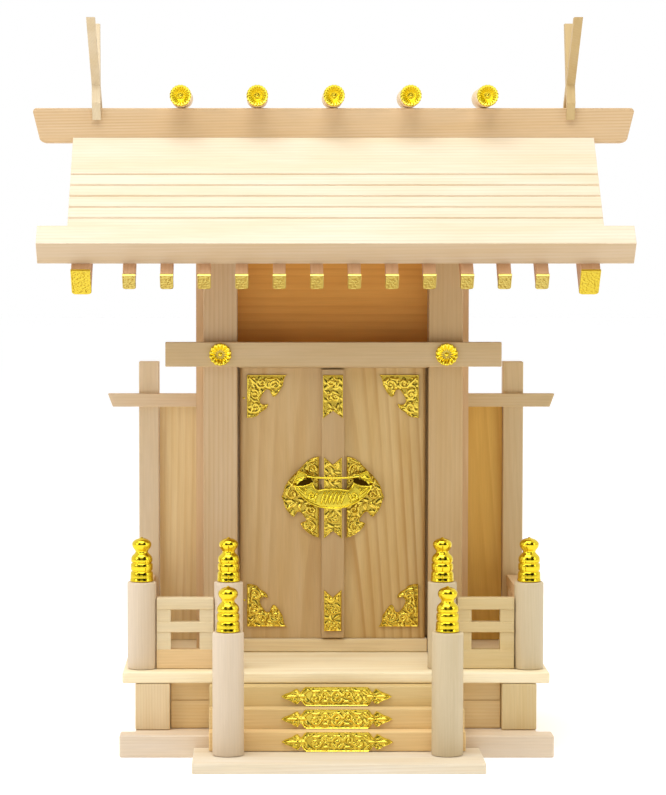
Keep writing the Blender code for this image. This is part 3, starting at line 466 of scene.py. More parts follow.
# each board's grain way, screen tone, seed and changes to woodLook
stepGrain = dict(heart=(0, 30, 120), ringSpacing=2.2, ringStrength=0.35)
boardWoods = {
    "roof": ("x", (234, 219, 194), 1, dict(ringStrength=0.34, heart=(0, 130, 60), ringSpacing=2.4)),
    # the eave's edge: the roof's wood darkened as painted shade
    "fascia": ("x", (206, 183, 151), 2, dict(ringStrength=0.3)),
    "rafter": ((0, 0.72, 0.69), (206, 162, 122), 3, {}),
    "ridge": ("x", (214, 185, 145), 4, dict(heart=(0, 12, -22), tilt=2.0, ringSpacing=1.9, ringStrength=0.8)),
    # left board lighter, right board darker and yellower: partly own tone, partly painted light and shade
    "crossLeft": ((0, 0.577, 0.817), (214, 196, 163), 5, dict(ringStrength=0.3)),
    "crossRight": ((0, 0.577, 0.817), (197, 171, 121), 33, dict(ringStrength=0.3)),
    # left board lighter, right board darker and yellower: partly own tone, partly painted light and shade
    "pillarLeft": ("z", (206, 179, 141), 6, dict(heart=(0, 60, 46), ringSpacing=2.2, ringStrength=0.7)),
    "pillarRight": ("z", (199, 169, 122), 7, dict(heart=(0, -70, 40), ringSpacing=2.2)),
    "doorLeft": ("z", (205, 175, 126), 8, dict(
        heart=(0, 90, 20), ringSpacing=4.2, broadStrength=1.0, contrast=1.5, tilt=2.0, wobble=3.0)),
    "doorRight": ("z", (208, 178, 122), 9, dict(
        heart=(0, -34, 14), ringSpacing=5.4, ringStrength=0.8, broadStrength=1.0, contrast=1.7, tilt=3.4,
        wobble=3.4)),
    "batten": ("z", (193, 163, 118), 10, dict(ringSpacing=2.6, ringStrength=0.3)),
    # transom: partly its own darker wood, partly deepened and warmed as painted shade under the eave
    "transom": ("x", (226, 162, 72), 11, dict(heart=(0, 40, -150), ringSpacing=4.0, ringStrength=0.6)),
    "tie": ("x", (202, 176, 133), 12, dict(ringSpacing=2.0, ringStrength=0.3)),
    "lintel": ("x", (196, 166, 122), 37, dict(ringSpacing=2.0, ringStrength=0.3)),
    # left post lighter, right post darker and yellower: partly own tone, partly painted light and shade
    "postLeft": ("z", (216, 198, 173), 13, dict(ringStrength=0.14, broadStrength=0.4)),
    "postRight": ("z", (205, 188, 154), 30, dict(ringStrength=0.14, broadStrength=0.4)),
    "deck": ("x", (248, 234, 198), 14, dict(heart=(0, 60, 150), ringStrength=0.3)),
    "under": ("x", (229, 201, 148), 15, dict(ringStrength=0.4)),
    # left stub lighter, right stub darker and yellower: partly own tone, partly painted light and shade
    "stubLeft": ("z", (224, 201, 160), 16, dict(ringStrength=0.3)),
    "stubRight": ("z", (214, 192, 144), 36, dict(ringStrength=0.3)),
    # top step lighter, lower steps darker: painted light and shade
    "step1": ("x", (240, 208, 150), 17, stepGrain),
    "step2": ("x", (226, 198, 142), 34, stepGrain),
    "step3": ("x", (215, 190, 134), 35, stepGrain),
    "sill": ("x", (238, 218, 176), 31, dict(ringStrength=0.3)),
    "plinth": ("x", (224, 206, 182), 18, dict(ringStrength=0.3)),
    "foot": ("x", (232, 220, 198), 32, dict(ringStrength=0.3)),
    # left rail lighter, right rail darker and yellower: partly own tone, partly painted light and shade
    "railLeft": ("x", (224, 206, 168), 19, dict(ringStrength=0.2)),
    "railRight": ("x", (212, 190, 141), 27, dict(ringStrength=0.2)),
    "sole": ("x", (226, 196, 148), 38, dict(ringStrength=0.25)),
    "sideRail": ("y", (222, 192, 148), 20, dict(ringStrength=0.25)),
    # left screen lightened as painted light, right screen darker and yellower as painted shade; partly own tone
    "screenLeft": ("z", (237, 214, 164), 21, dict(ringSpacing=2.8, ringStrength=0.6)),
    "screenRight": ("z", (224, 182, 92), 22, dict(ringSpacing=2.8, ringStrength=0.6)),
    # left frame lighter, right frame darker and yellower: partly own tone, partly painted light and shade
    "frameLeft": ("z", (222, 203, 172), 23, dict(ringStrength=0.25)),
    "frameRight": ("z", (212, 188, 144), 28, dict(ringStrength=0.25)),
    # left beam lighter, right beam darker and yellower: partly own tone, partly painted light and shade
    "beamLeft": ("x", (222, 200, 168), 24, dict(ringStrength=0.25)),
    "beamRight": ("x", (212, 188, 144), 29, dict(ringStrength=0.25)),
    "wall": ("z", (218, 186, 144), 25, dict(ringSpacing=2.6)),
    "log": ("y", (236, 212, 172), 26, dict(ringStrength=0.3)),
}
woods = {name: cypress("cypress" + name[0].upper() + name[1:], grain, tone, seed, **changes)
         for name, (grain, tone, seed, changes) in boardWoods.items()}
giltTurned = gilt("giltTurned", False, 0.07)
giltFinial = gilt("giltFinial", False, 0.09, giltLook["finial"])
giltStamped = gilt("giltStamped", True, 0.17, giltLook["plate"])
giltStrip = gilt("giltStrip", True, 0.2, giltLook["strip"])
giltLock = gilt("giltLock", True, 0.1)
giltSatin = gilt("giltSatin", False, 0.28, giltLook["satin"])
giltSatinWide = gilt("giltSatinWide", False, 0.28, giltLook["satinWide"])
# dark gilt used only as painted shadow under the lock's ear tabs
giltPaintedShadow = gilt("giltPaintedShadow", False, 0.25, giltLook["shade"])
print("finishes made")

# the solids that keep their own shape take the wood of their place
keeps = {"stair_foot_board": "foot", "plinth_board": "plinth", "front_boards": "under", "deck_board": "deck",
         "door_sill": "sill", "door_lintel": "lintel", "back_wall": "wall", "transom_panel": "transom",
         "ridge_beam": "ridge", "roof_back": "roof"}
keptPairs = {"stub_post": "stub", "pillar": "pillar", "door": "door", "wing_panel": "screen",
             "gable_cross": "cross"}
for side in ("left", "right"):
    keeps.update({"skirt_board_" + side: "under", "side_wall_" + side: "wall"})
    keeps.update({f"{node}_{side}": wood + side.capitalize() for node, wood in keptPairs.items()})
for node, wood in keeps.items():
    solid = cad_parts[node]
    solid.data.materials.clear()
    solid.data.materials.append(woods[wood])


# turned posts and their onion finials, mm

finialProfile = [
    (0, 27.5), (0.5, 27.45), (0.8, 27.2), (1.1, 26.9), (2.4, 26.6), (3.9, 26.0), (5.0, 25.2), (5.75, 24.2),
    (6.05, 23.2), (5.95, 22.1), (5.5, 21.0), (4.8, 20.0), (4.2, 19.2), (3.95, 18.6), (3.95, 18.1), (4.3, 17.6),
    (5.0, 16.9), (5.8, 16.1), (6.4, 15.2), (6.65, 14.2), (6.7, 13.0), (6.6, 12.2), (6.1, 11.8), (6.1, 11.4),
    (6.6, 11.1), (6.85, 10.4), (6.9, 9.2), (6.85, 7.8), (6.7, 7.0), (6.2, 6.7), (6.2, 6.3), (6.7, 6.0),
    (6.95, 5.2), (7.05, 4.0), (7.1, 2.6), (7.1, 1.4), (7.3, 1.0), (7.4, 0.6), (7.3, 0.2), (7.1, 0.0), (0, 0.0)]
for kind in ("corner_post", "inner_post", "stair_post"):
    for side in ("left", "right"):
        node = kind + "_" + side
        xs, ys, zs = box(node)
        x, y = sum(xs) / 2, sum(ys) / 2
        r, tall = (xs[1] - xs[0]) / 2 / mm, (zs[1] - zs[0]) / mm
        shaft = [(0, tall), (r - 0.9, tall), (r - 0.5, tall - 0.12), (r - 0.1, tall - 0.45), (r, tall - 0.9),
                 (r, 0.6), (r - 0.2, 0.1), (r - 0.5, 0), (0, 0)]
        piece = turned(node + "Shaft", shaft, (x, y, zs[0]))
        register(piece, woods["post" + side.capitalize()], node=node, smooth=True)
        cap = kind + "_finial_" + side
        xs, ys, zs = box(cap)
        piece = turned(cap + "Turned", finialProfile, (x, y, zs[0]), 72)
        register(piece, giltFinial, node=cap, smooth=True)
print("posts turned")


# railings: sole, rail, cap and short struts as separate boards

railing = {"sole": 12.0, "middle": (22.8, 29.2), "cap": (37.0, 44.2), "strut": 8.8, "inset": 0.6}


def laid(along, run, thick):
    # the x and y spans of a bar that runs along x or y
    return (run, thick) if along == "x" else (thick, run)


for node, along, bays in (("front_railing_left", "x", 1), ("front_railing_right", "x", 1),
                          ("side_railing_left", "y", 3), ("side_railing_right", "y", 3)):
    xs, ys, zs = box(node)
    wood = woods["sideRail" if along == "y" else "railLeft" if "left" in node else "railRight"]
    run, thick = laid(along, xs, ys)
    levels = [(0.0, railing["sole"]), railing["middle"], railing["cap"]]
    struts = [(railing["sole"], railing["middle"][0]), (railing["middle"][1], railing["cap"][0])]
    for number, (low, high) in enumerate(levels):
        span = (zs[0] + low * mm, zs[0] + high * mm)
        piece = board(f"{node}Rail{number + 1}", *laid(along, run, thick), span, 0.45)
        isSole = number == 0
        material = woods["sole"] if isSole and node == "front_railing_left" else wood
        register(piece, material, node=node if isSole else None)
    step = (run[1] - run[0] - railing["strut"] * mm) / bays
    thin = (thick[0] + railing["inset"] * mm, thick[1] - railing["inset"] * mm)
    for row, (low, high) in enumerate(struts):
        span = (zs[0] + (low - 0.1) * mm, zs[0] + (high + 0.1) * mm)
        for k in range(bays + 1):
            start = run[0] + k * step
            part = (start, start + railing["strut"] * mm)
            piece = board(f"{node}Strut{row + 1}{k + 1}", *laid(along, part, thin), span, 0.2)
            register(piece, wood)
print("railings built")


# screens: post and beam of each side

screen = {"postAt": 120.5, "post": 13.3, "deckTop": 49.8,
          "beamLevel": 156.3, "beamTall": 8.6, "beamDeep": 8, "rake": 3.2}
for side, sign in (("left", -1), ("right", 1)):
    node = "wing_frame_" + side
    xs, ys, zs = box(node)
    postX = (sign * screen["postAt"] - screen["post"] / 2, sign * screen["postAt"] + screen["post"] / 2)
    postY = (ys[1] - screen["post"] * mm, ys[1])
    piece = board(node + "Post", (postX[0] * mm, postX[1] * mm), postY, zs, 0.6)
    register(piece, woods["frame" + side.capitalize()], node=node)
    inner, outer = (xs[1], xs[0]) if sign < 0 else (xs[0], xs[1])
    low = (screen["deckTop"] + screen["beamLevel"]) * mm
    high = (screen["deckTop"] + screen["beamLevel"] + screen["beamTall"]) * mm
    outline = [(inner, low), (outer - sign * screen["rake"] * mm, low), (outer, high), (inner, high)]
    piece = prism(node + "Beam", outline, (ys[0], ys[0] + screen["beamDeep"] * mm), "y", 0.5)
    register(piece, woods["beam" + side.capitalize()])
print("screens built")


# stair: plain steps with a spear-ended stamped strip on every riser

strip = {"half": 34.0, "rise": 5.9, "inset": 0.8, "stepRise": 12.13}
stripSheet = dict(depth=1.5, back=-0.05, cell=0.26, rim=0.75)


def stripOutline(half, rise):
    lower = [(0.56, -1), (0.585, -0.9), (0.61, -0.72), (0.63, -0.55), (0.645, -0.44), (0.66, -0.5),
             (0.685, -0.68), (0.70, -0.80), (0.715, -0.83), (0.76, -0.72), (0.80, -0.57), (0.84, -0.44),
             (0.88, -0.36), (0.93, -0.26), (0.975, -0.10), (1.0, 0.0)]
    end = lower + [(u, -v) for u, v in reversed(lower[:-1])]
    return [(u * half, v * rise) for u, v in end] + [(-u * half, -v * rise) for u, v in end]


def stripScrolls():
    strokes = [leaf(a * 3.0, 0, 0, b * 3.6, -a * b * 0.25, 1.3) for a in (-1, 1) for b in (-1, 1)]
    strokes.append(bead(0, 0, 1.5))
    for s in (-1, 1):
        strokes += [
            scroll(s * 7.2, 0.9, 3.1, 0.4, 90 + 90 * s, -1.35 * s, 1.0, 0.55),
            scroll(s * 13.2, -0.9, 3.1, 0.4, 90 - 90 * s + 180, 1.35 * s, 1.0, 0.55),
            leaf(s * 4.0, -3.6, s * 9.6, -4.0, 0.12 * s, 0.9),
            leaf(s * 10.0, 4.0, s * 15.6, 3.6, -0.12 * s, 0.9),
            leaf(s * 16.4, 3.9, s * 19.6, 1.0, 0.2 * s, 0.9),
            leaf(s * 16.6, -3.8, s * 19.8, -1.0, -0.2 * s, 0.9),
            leaf(s * 18.6, 0, s * 23.6, 0, 0.0, 1.0), leaf(s * 23.6, 0, s * 31.6, 0, 0.0, 1.0)]
        strokes += [leaf(s * 24.2, v * 1.2, s * 27.4, v * 2.8, v * 0.1 * s, 0.8) for v in (1, -1)]
    return strokes


for number in (1, 2, 3):
    node = "step_" + str(number)
    xs, ys, zs = box(node)
    front = ys[0] + strip["inset"] * mm
    piece = board(node + "Tread", xs, (front, ys[1]), zs, 0.55)
    register(piece, woods["step" + str(number)], node=node)
    middle = (zs[1] / mm) - strip["stepRise"] / 2
    piece = stamped(node + "Strip", stripOutline(strip["half"], strip["rise"]), stripScrolls(),
                    onFront(0, front / mm, middle), **stripSheet)
    register(piece, giltStrip, smooth=True)
print("stair built")


# tie rail with two fluted rosettes, ridge logs with rosette caps

def rosetteProfile(radius, tall, sunk=0.0):
    shares = [(0, 0.42), (0.06, 0.42), (0.11, 0.36), (0.15, 0.20), (0.18, 0.08), (0.24, 0.10), (0.34, 0.20),
              (0.46, 0.38), (0.58, 0.60), (0.70, 0.80), (0.80, 0.94), (0.87, 1.0), (0.93, 0.95), (0.98, 0.74),
              (1.0, 0.40), (1.0, -0.1), (0, -0.1)]
    return [(r * radius, z * tall - sunk * (1 - r ** 2) if z > 0 else z * tall) for r, z in shares]


tieRosette = {"at": 72.4, "radius": 7.3, "tall": 2.4}
tieFlutes = dict(flutes=14, fluteDepth=1.1, fluteZone=(1.5, 7.4), scallop=0.05)
ridgeRosette = {"tall": 2.3, "sunk": 1.5, "skirt": 2.6, "innerFlute": 1.5}
ridgeFlutes = dict(flutes=20, fluteDepth=0.6, scallop=0.05)
xs, ys, zs = box("tie_rail")
railFace = ys[1] - 7 * mm
piece = board("tieRailBoard", xs, (railFace, ys[1]), zs, 0.5)
register(piece, woods["tie"], node="tie_rail")
for side, sign in (("Left", -1), ("Right", 1)):
    piece = turned("tieRailRosette" + side, rosetteProfile(tieRosette["radius"], tieRosette["tall"]),
                   (sign * tieRosette["at"] * mm, railFace, sum(zs) / 2), 160, "front", **tieFlutes)
    register(piece, giltTurned, smooth=True)

for number in range(1, 6):
    node = "ridge_log_" + str(number)
    xs, ys, zs = box(node)
    r = (xs[1] - xs[0]) / 2 / mm
    long = (ys[1] - ys[0]) / mm
    centre = (sum(xs) / 2, ys[0] + 2.3 * mm, sum(zs) / 2)
    end = 2.3 - long
    rod = [(0, -1.9), (r - 0.5, -1.9), (r - 0.2, -2.1), (r - 0.15, 2.9 - long), (r - 0.6, end), (0, end)]
    piece = turned(node + "Rod", rod, centre, 64, "front")
    register(piece, woods["log"], node=node, smooth=True)
    wide, foot = r - 0.05, -ridgeRosette["skirt"]
    cap = rosetteProfile(wide, ridgeRosette["tall"], ridgeRosette["sunk"])[:-2]
    piece = turned(node + "Cap", cap + [(wide, foot), (r - 0.3, foot), (0, foot)], centre, 160, "front",
                   fluteZone=(ridgeRosette["innerFlute"], wide), **ridgeFlutes)
    register(piece, giltTurned, smooth=True)
print("rail and ridge logs built")


# front roof: grooved boards, twelve rafters and two gable rafters, all with gilt end caps

roof = {
    "pitch": 44.0, "eave": (85.0, 314.3), "thick": 17.5, "ears": 16.0, "run": 70.0,
    "grooveStart": 22.9, "groovePitch": 9.95, "grooves": 5, "grooveWidth": 1.6, "grooveDepth": 1.1,
    "rafterWide": 7.8, "rafterThick": 11.4, "rafterReach": 10.8, "rafterPitch": 23.3,
    "gableWide": 11.9, "gableThick": 20.0, "gableReach": 6.9, "gableCentre": 158.25, "gableRun": 94.0,
    "half": 166.5, "middle": 164.35, "ridgeFront": 154.7, "lip": 3.8, "rafterRun": 60, "capOver": 0.5,
}
depthMiddle = 122.0     # mm from the stair's front to the frame's origin, since the eave is given from the front
slopeCos, slopeSin = math.cos(math.radians(roof["pitch"])), math.sin(math.radians(roof["pitch"]))


def onSlope(along, drop):
    # y and z in mm on the front slope
    return (roof["eave"][0] + along * slopeCos + drop * slopeSin - depthMiddle,
            roof["eave"][1] + along * slopeSin - drop * slopeCos)


def paintFasciaShade(piece):
    # the eave's edge faces down and forward and takes a darker, warmer tone of the same wood: painted shade
    piece.data.materials.append(woods["fascia"])
    for side in piece.data.polygons:
        if side.normal.y < -0.5 and side.normal.z < -0.3:
            side.material_index = 1


def slopeMetres(pairs):
    return [(a * mm, b * mm) for a, b in (onSlope(*pair) for pair in pairs)]


halfRoof, halfEar = roof["half"] * mm, box("roof_front")[0][1]
middleY, ridgeFrontY = (roof["middle"] - depthMiddle) * mm, (roof["ridgeFront"] - depthMiddle) * mm
jointZ = (roof["eave"][1] + roof["run"] * slopeSin / slopeCos) * mm
underZ = jointZ - roof["thick"] / slopeCos * mm + (middleY - ridgeFrontY) * slopeSin / slopeCos
section = slopeMetres([(0, roof["thick"]), (0, 0)])
for k in range(roof["grooves"]):
    at = roof["grooveStart"] + k * roof["groovePitch"]
    half, foot, deep = roof["grooveWidth"] / 2, roof["grooveWidth"] * 0.12, roof["grooveDepth"]
    section += slopeMetres([(at - half, 0), (at - foot, deep), (at + foot, deep), (at + half, 0)])
lipZ = jointZ - roof["lip"] * mm
section += [(ridgeFrontY, jointZ - 0.3 * mm), (ridgeFrontY, lipZ), (middleY, lipZ), (middleY, underZ)]
piece = prism("roofBoardsFront", section, (-halfRoof, halfRoof), "x", 0.12, 1)
register(piece, woods["roof"], node="roof_front")
paintFasciaShade(piece)
for side, sign in (("Left", -1), ("Right", 1)):
    outline = slopeMetres([(0, roof["thick"]), (0, 0), (roof["ears"], 0), (roof["ears"], roof["thick"])])
    piece = prism("eaveEar" + side, outline, sorted((sign * (halfRoof - 0.5 * mm), sign * halfEar)), "x", 0.35)
    register(piece, woods["roof"])
    paintFasciaShade(piece)
    low, high, foot = -roof["gableReach"] + 0.6, roof["gableRun"], roof["thick"] + roof["gableThick"]
    gable = [(low, roof["thick"]), (low, foot), (high, foot), (high, roof["thick"])]
    at = sign * roof["gableCentre"]
    piece = prism("gableRafterFront" + side, slopeMetres(gable),
                  ((at - roof["gableWide"] / 2) * mm, (at + roof["gableWide"] / 2) * mm), "x", 0.5)
    register(piece, woods["rafter"])


def capOutline(wide, tall, corner):
    # u across, v down the end face; the two lower corners are rounded
    turns = np.linspace(0.3, 1.27, 4)
    half, level = wide / 2, -tall + corner
    points = [(-half, 0.0), (-half, level)]
    points += [(-half + corner - corner * math.cos(a), level - corner * math.sin(a)) for a in turns]
    points += [(-half + corner, -tall), (half - corner, -tall)]
    points += [(half - corner + corner * math.sin(a), level - corner * math.cos(a)) for a in turns]
    return points + [(half, level), (half, 0.0)]


def capGrain(wide, tall):
    # fine stamped grain: scattered dots and short curls
    chance = np.random.default_rng(int(wide * 100))
    strokes = []
    for _ in range(int(wide * tall * 0.85)):
        u, v = chance.uniform(-wide / 2 + 0.6, wide / 2 - 0.6), chance.uniform(-tall + 0.6, -0.6)
        strokes.append(bead(u, v, chance.uniform(0.35, 0.7)))
        if chance.random() < 0.3:
            a = chance.uniform(0, 2 * math.pi)
            strokes.append(leaf(u, v, u + 1.3 * math.cos(a), v + 1.3 * math.sin(a), 0.2, 0.4, 8))
    return strokes


def onRafterEnd(x, reach, lift):
    # the square-cut end of a rafter: u across, v up the face, height along the rafter outwards
    def place(u, v, h):
        depth, level = onSlope(-reach - h, roof["thick"] - lift - v)
        return (x + u, depth, level)
    return place


capSheet = dict(depth=0.65, back=-1.4, fill=0)
low, top, under = -roof["rafterReach"] + 0.6, roof["thick"] - 0.05, roof["thick"] + roof["rafterThick"]
bar = [(low, top), (low, under), (roof["rafterRun"], under), (roof["rafterRun"], top)]
for k in range(12):
    x, half = (k - 5.5) * roof["rafterPitch"], roof["rafterWide"] / 2
    piece = prism(f"rafter{k + 1}", slopeMetres(bar), ((x - half) * mm, (x + half) * mm), "x", 0.5)
    register(piece, woods["rafter"])
    wide, tall = roof["rafterWide"] + roof["capOver"], roof["rafterThick"] + 0.35
    piece = stamped(f"rafterCap{k + 1}", capOutline(wide, tall, 1.5), capGrain(wide, tall),
                    onRafterEnd(x, roof["rafterReach"] - 0.5, 0.1), cell=0.26, rim=0.7, **capSheet)
    register(piece, giltSatin, smooth=True)
for side, sign in (("Left", -1), ("Right", 1)):
    wide, tall = roof["gableWide"] + roof["capOver"], roof["gableThick"] + 0.35
    face = onRafterEnd(sign * roof["gableCentre"], roof["gableReach"] - 0.5, 0.1)
    piece = stamped("gableCap" + side, capOutline(wide, tall, 2.2), capGrain(wide, tall), face,
                    cell=0.34, rim=0.9, **capSheet)
    register(piece, giltSatinWide, smooth=True)
print("roof built")


# doors: batten with three stamped strips, corner plates, lock plates and the shrimp lock

plateSheet = dict(cell=0.28, rim=0.7)
# mm; a thicker corner plate meets the pillar when the leaf stands at 90 degrees
sheetDepth = {"batten": 1.15, "corner": 1.15, "lockPlate": 1.4}
xs, ys, zs = box("door_batten")
battenFace = ys[0] + 0.8 * mm
piece = board("doorBattenBoard", xs, (battenFace, ys[1]), zs, 0.4)
register(piece, woods["batten"], "left_leaf", "door_batten")
lockZ = 150.3
leafFace = box("lock_plate_left")[1][1] / mm


def swallow(wide, tall, cut, lowCut, highCut):
    # a strip with a V cut into its lower end, its upper end or both
    h, t = wide / 2, tall / 2
    lower, upper = [(0, -t + cut)] if lowCut else [], [(0, t - cut)] if highCut else []
    return [(-h, -t)] + lower + [(h, -t), (h, t)] + upper + [(-h, t)]


def stripVine(tall):
    strokes, t = [], tall / 2
    rows = max(1, int(tall // 8))
    for k in range(rows):
        y = -t + (k + 0.5) * tall / rows
        s = 1 if k % 2 else -1
        strokes += [scroll(s * 1.6, y, 2.5, 0.3, 90 + 90 * s, s * 1.3, 0.85, 0.45),
                    leaf(-s * 1.0, y - 2.6, -s * 3.6, y + 1.2, 0.2 * s, 0.8),
                    leaf(-s * 3.4, y + 1.6, -s * 0.6, y + 3.9, -0.2 * s, 0.75)]
    return strokes


battenStrips = {
    "Upper": dict(wide=13.0, middle=215.5, tall=28.0, cuts=(True, False)),
    "Lower": dict(wide=11.4, middle=77.4, tall=26.8, cuts=(False, True)),
    "Middle": dict(wide=11.6, middle=150.3, tall=52.8, cuts=(True, True)),
}
notch = 4.9
for label, facts in battenStrips.items():
    outline = swallow(facts["wide"], facts["tall"], notch, *facts["cuts"])
    piece = stamped("battenStrip" + label, outline, stripVine(facts["tall"]),
                    onFront(0, battenFace / mm, facts["middle"]), sheetDepth["batten"], -0.05, **plateSheet)
    register(piece, giltStamped, "left_leaf", smooth=True)

cornerPlate = [
    (0.0, 0.0), (25.7, 0.0), (24.6, 1.2), (23.8, 3.0), (23.5, 5.0), (23.1, 7.1), (21.8, 9.2), (20.6, 11.2),
    (19.2, 13.1), (18.2, 14.0), (17.2, 14.2), (16.4, 13.8), (15.6, 12.5), (15.1, 10.8), (14.6, 9.8),
    (13.5, 9.4), (12.4, 9.6), (11.3, 10.8), (9.9, 12.8), (8.8, 14.8), (8.3, 16.4), (8.6, 17.7),
    (9.4, 18.7), (10.6, 19.2), (12.2, 19.0), (13.6, 18.5), (13.5, 20.2), (12.6, 21.6), (11.2, 22.8),
    (9.4, 23.8), (8.0, 24.8), (7.0, 26.2), (5.6, 27.0), (3.6, 27.5), (0.0, 27.8)]
cornerVine = [
    leaf(1.6, 1.6, 6.5, 6.4, 0.0, 1.1), scroll(9.6, 5.2, 3.6, 0.5, 200, -1.4, 1.1, 0.5),
    scroll(18.3, 6.6, 3.9, 0.5, 160, 1.3, 1.1, 0.5), leaf(12.8, 2.6, 18.5, 1.9, 0.1, 0.9),
    leaf(19.5, 2.0, 22.8, 4.6, 0.1, 0.8), leaf(16.8, 9.4, 17.4, 12.6, 0.1, 0.9),
    scroll(5.0, 12.6, 3.4, 0.5, 250, 1.4, 1.1, 0.5), scroll(5.2, 20.6, 3.6, 0.5, 110, -1.3, 1.1, 0.5),
    leaf(2.2, 7.4, 1.9, 14.0, 0.1, 0.9), leaf(2.0, 16.0, 2.6, 24.4, -0.1, 0.9),
    leaf(8.4, 20.6, 12.2, 20.0, 0.1, 0.8), leaf(6.6, 8.6, 11.2, 8.2, -0.12, 0.8), bead(2.6, 3.9, 0.7),
    bead(4.4, 2.2, 0.7)]
for height, up in (("upper", 1), ("lower", -1)):
    for side, sign in (("left", -1), ("right", 1)):
        node = f"corner_plate_{height}_{side}"
        xs, ys, zs = box(node)
        cornerX = (xs[0] if sign < 0 else xs[1]) / mm
        cornerZ = (zs[1] if up > 0 else zs[0]) / mm
        outline = [(-sign * u, -up * v) for u, v in cornerPlate]
        vine = [np.stack([-sign * s[:, 0], -up * s[:, 1], s[:, 2]], axis=1) for s in cornerVine]
        face = onFront(cornerX, ys[1] / mm, cornerZ)
        piece = stamped(node + "Stamped", outline, vine, face, sheetDepth["corner"], 0.0, **plateSheet)
        register(piece, giltStamped, side + "_leaf", node=node, smooth=True)

lockHalf = [
    (8.9, -26.2), (12.0, -25.4), (14.6, -24.0), (17.0, -22.2), (19.2, -20.0), (20.6, -18.0), (21.0, -16.8),
    (19.2, -15.9), (17.2, -15.4), (17.3, -14.2), (18.7, -12.2), (20.0, -10.4), (21.4, -9.4), (22.6, -9.4),
    (23.6, -10.8), (24.6, -12.2), (25.6, -12.8), (27.0, -11.8), (28.6, -9.9), (30.2, -7.8), (31.2, -5.6),
    (31.8, -3.0), (32.6, -1.0), (33.2, 0.4), (32.4, 1.8), (31.8, 4.2), (30.9, 7.2), (29.2, 10.2),
    (27.2, 12.7), (24.6, 15.4), (22.0, 18.0), (19.4, 20.6), (16.8, 23.4), (13.6, 25.4), (11.0, 26.2),
    (8.9, 26.4)]
lockVine = [
    scroll(14.0, 18.6, 3.6, 0.5, 200, -1.4, 1.0, 0.5), scroll(21.4, 11.6, 3.8, 0.5, 130, 1.3, 1.0, 0.5),
    scroll(26.0, 2.4, 3.9, 0.5, 60, -1.35, 1.0, 0.5), scroll(15.2, 6.2, 3.4, 0.5, 300, 1.3, 1.0, 0.5),
    scroll(13.6, -8.0, 3.3, 0.5, 30, -1.3, 1.0, 0.5), scroll(14.4, -19.2, 3.4, 0.5, 100, 1.3, 1.0, 0.5),
    leaf(10.6, -14.6, 16.4, -13.2, 0.15, 0.9), leaf(24.0, -3.6, 28.6, -8.2, 0.12, 1.0),
    leaf(20.0, -3.8, 21.6, -7.8, 0.1, 0.9), leaf(10.6, -23.6, 17.2, -17.6, -0.1, 0.8),
    leaf(10.6, 24.0, 17.6, 21.4, 0.1, 0.9), leaf(10.5, 12.4, 17.8, 13.2, 0.12, 0.9),
    leaf(27.4, 6.8, 23.2, 15.2, 0.1, 0.8), leaf(10.8, -2.6, 17.8, -1.4, 0.14, 0.9), bead(10.7, 10.2, 0.7),
    bead(10.9, 0.8, 0.7)]
for side, sign in (("left", -1), ("right", 1)):
    node = "lock_plate_" + side
    outline = [(sign * u, v) for u, v in lockHalf]
    vine = [np.stack([sign * s[:, 0], s[:, 1], s[:, 2]], axis=1) for s in lockVine]
    face = onFront(0, leafFace, lockZ)
    piece = stamped(node + "Stamped", outline, vine, face, sheetDepth["lockPlate"], 0.0, **plateSheet)
    register(piece, giltStamped, side + "_leaf", node=node, smooth=True)

# the lock: a crescent shrimp body, a slim bar with spread ends, two ear tabs on legs, and a dark gilt sheet of
# painted shadow under each tab
lockBack = box("shrimp_lock")[1][1] / mm
lockFront = box("shrimp_lock")[1][0] / mm
belly = [(4.8, -7.0), (9.0, -6.1), (12.3, -4.9), (16.0, -3.0), (19.4, -0.4), (22.2, 2.4), (24.4, 5.2),
         (25.8, 8.7)]
spine = [(22.4, 8.1), (18.6, 8.4), (15.6, 9.4), (13.2, 10.6), (11.6, 7.0), (9.4, 5.4), (6.0, 6.1)]
crescent = mirrored(belly) + [(0, -7.3)] + belly + spine + [(0, 6.5)] + mirrored(spine)
shell = [leaf(-7.6 + 2.6 * k, -3.6, -4.6 + 2.6 * k, 4.2, 0.06, 0.85) for k in range(6)]
for s in (-1, 1):
    shell += [
        scroll(s * 13.6, 1.6, 2.9, 0.4, 90 + 90 * s, 1.3 * s, 0.95, 0.5), bead(s * 10.4, 2.6, 0.8),
        leaf(s * 17.2, 2.2, s * 22.6, 6.6, 0.06 * s, 1.0), bead(s * 17.4, 5.8, 0.8),
        leaf(s * 11.0, -2.6, s * 16.6, -0.4, 0.1 * s, 0.8)]
piece = stamped("shrimpLockBody", crescent, shell, onFront(0, lockFront + 1.8, lockZ), 1.8, -0.8,
                cell=0.28, rim=1.3, rimHeight=1.0, crown=0.1, fill=0)
register(piece, giltLock, "left_leaf", node="shrimp_lock", smooth=True)
barEnd = [(16.8, 14.6, 1.5), (14.6, 14.2, 1.15), (12.0, 13.5, 0.8), (8.0, 13.1, 0.68)]     # x, height, radius
barLine = [(-x, z, r) for x, z, r in barEnd] + [(0, 12.9, 0.62)] + barEnd[::-1]
points, faces = [], []
barY, around = lockFront + 1.1, 12
for x, z, r in barLine:
    for k in range(around):
        a = 2 * math.pi * k / around
        points.append((x * mm, (barY + r * 0.8 * math.cos(a)) * mm, (lockZ + z + r * math.sin(a)) * mm))
for i in range(len(barLine) - 1):
    for k in range(around):
        a, b = i * around + k, i * around + (k + 1) % around
        faces.append((a, b, b + around, a + around))
faces += [tuple(range(around)), tuple(reversed(range(len(points) - around, len(points))))]
piece = fromArrays("shrimpLockBar", points, faces)
register(piece, giltTurned, "left_leaf", smooth=True)
tabHalf = [(16.2, 15.4), (18.4, 12.6), (19.6, 11.2), (26.2, 9.2), (25.6, 10.8), (22.4, 17.4), (21.6, 17.7)]
paintedShadowHalf = [(12.6, 10.2), (14.6, 13.0), (20.8, 11.2), (23.6, 8.2), (17.7, 7.6)]
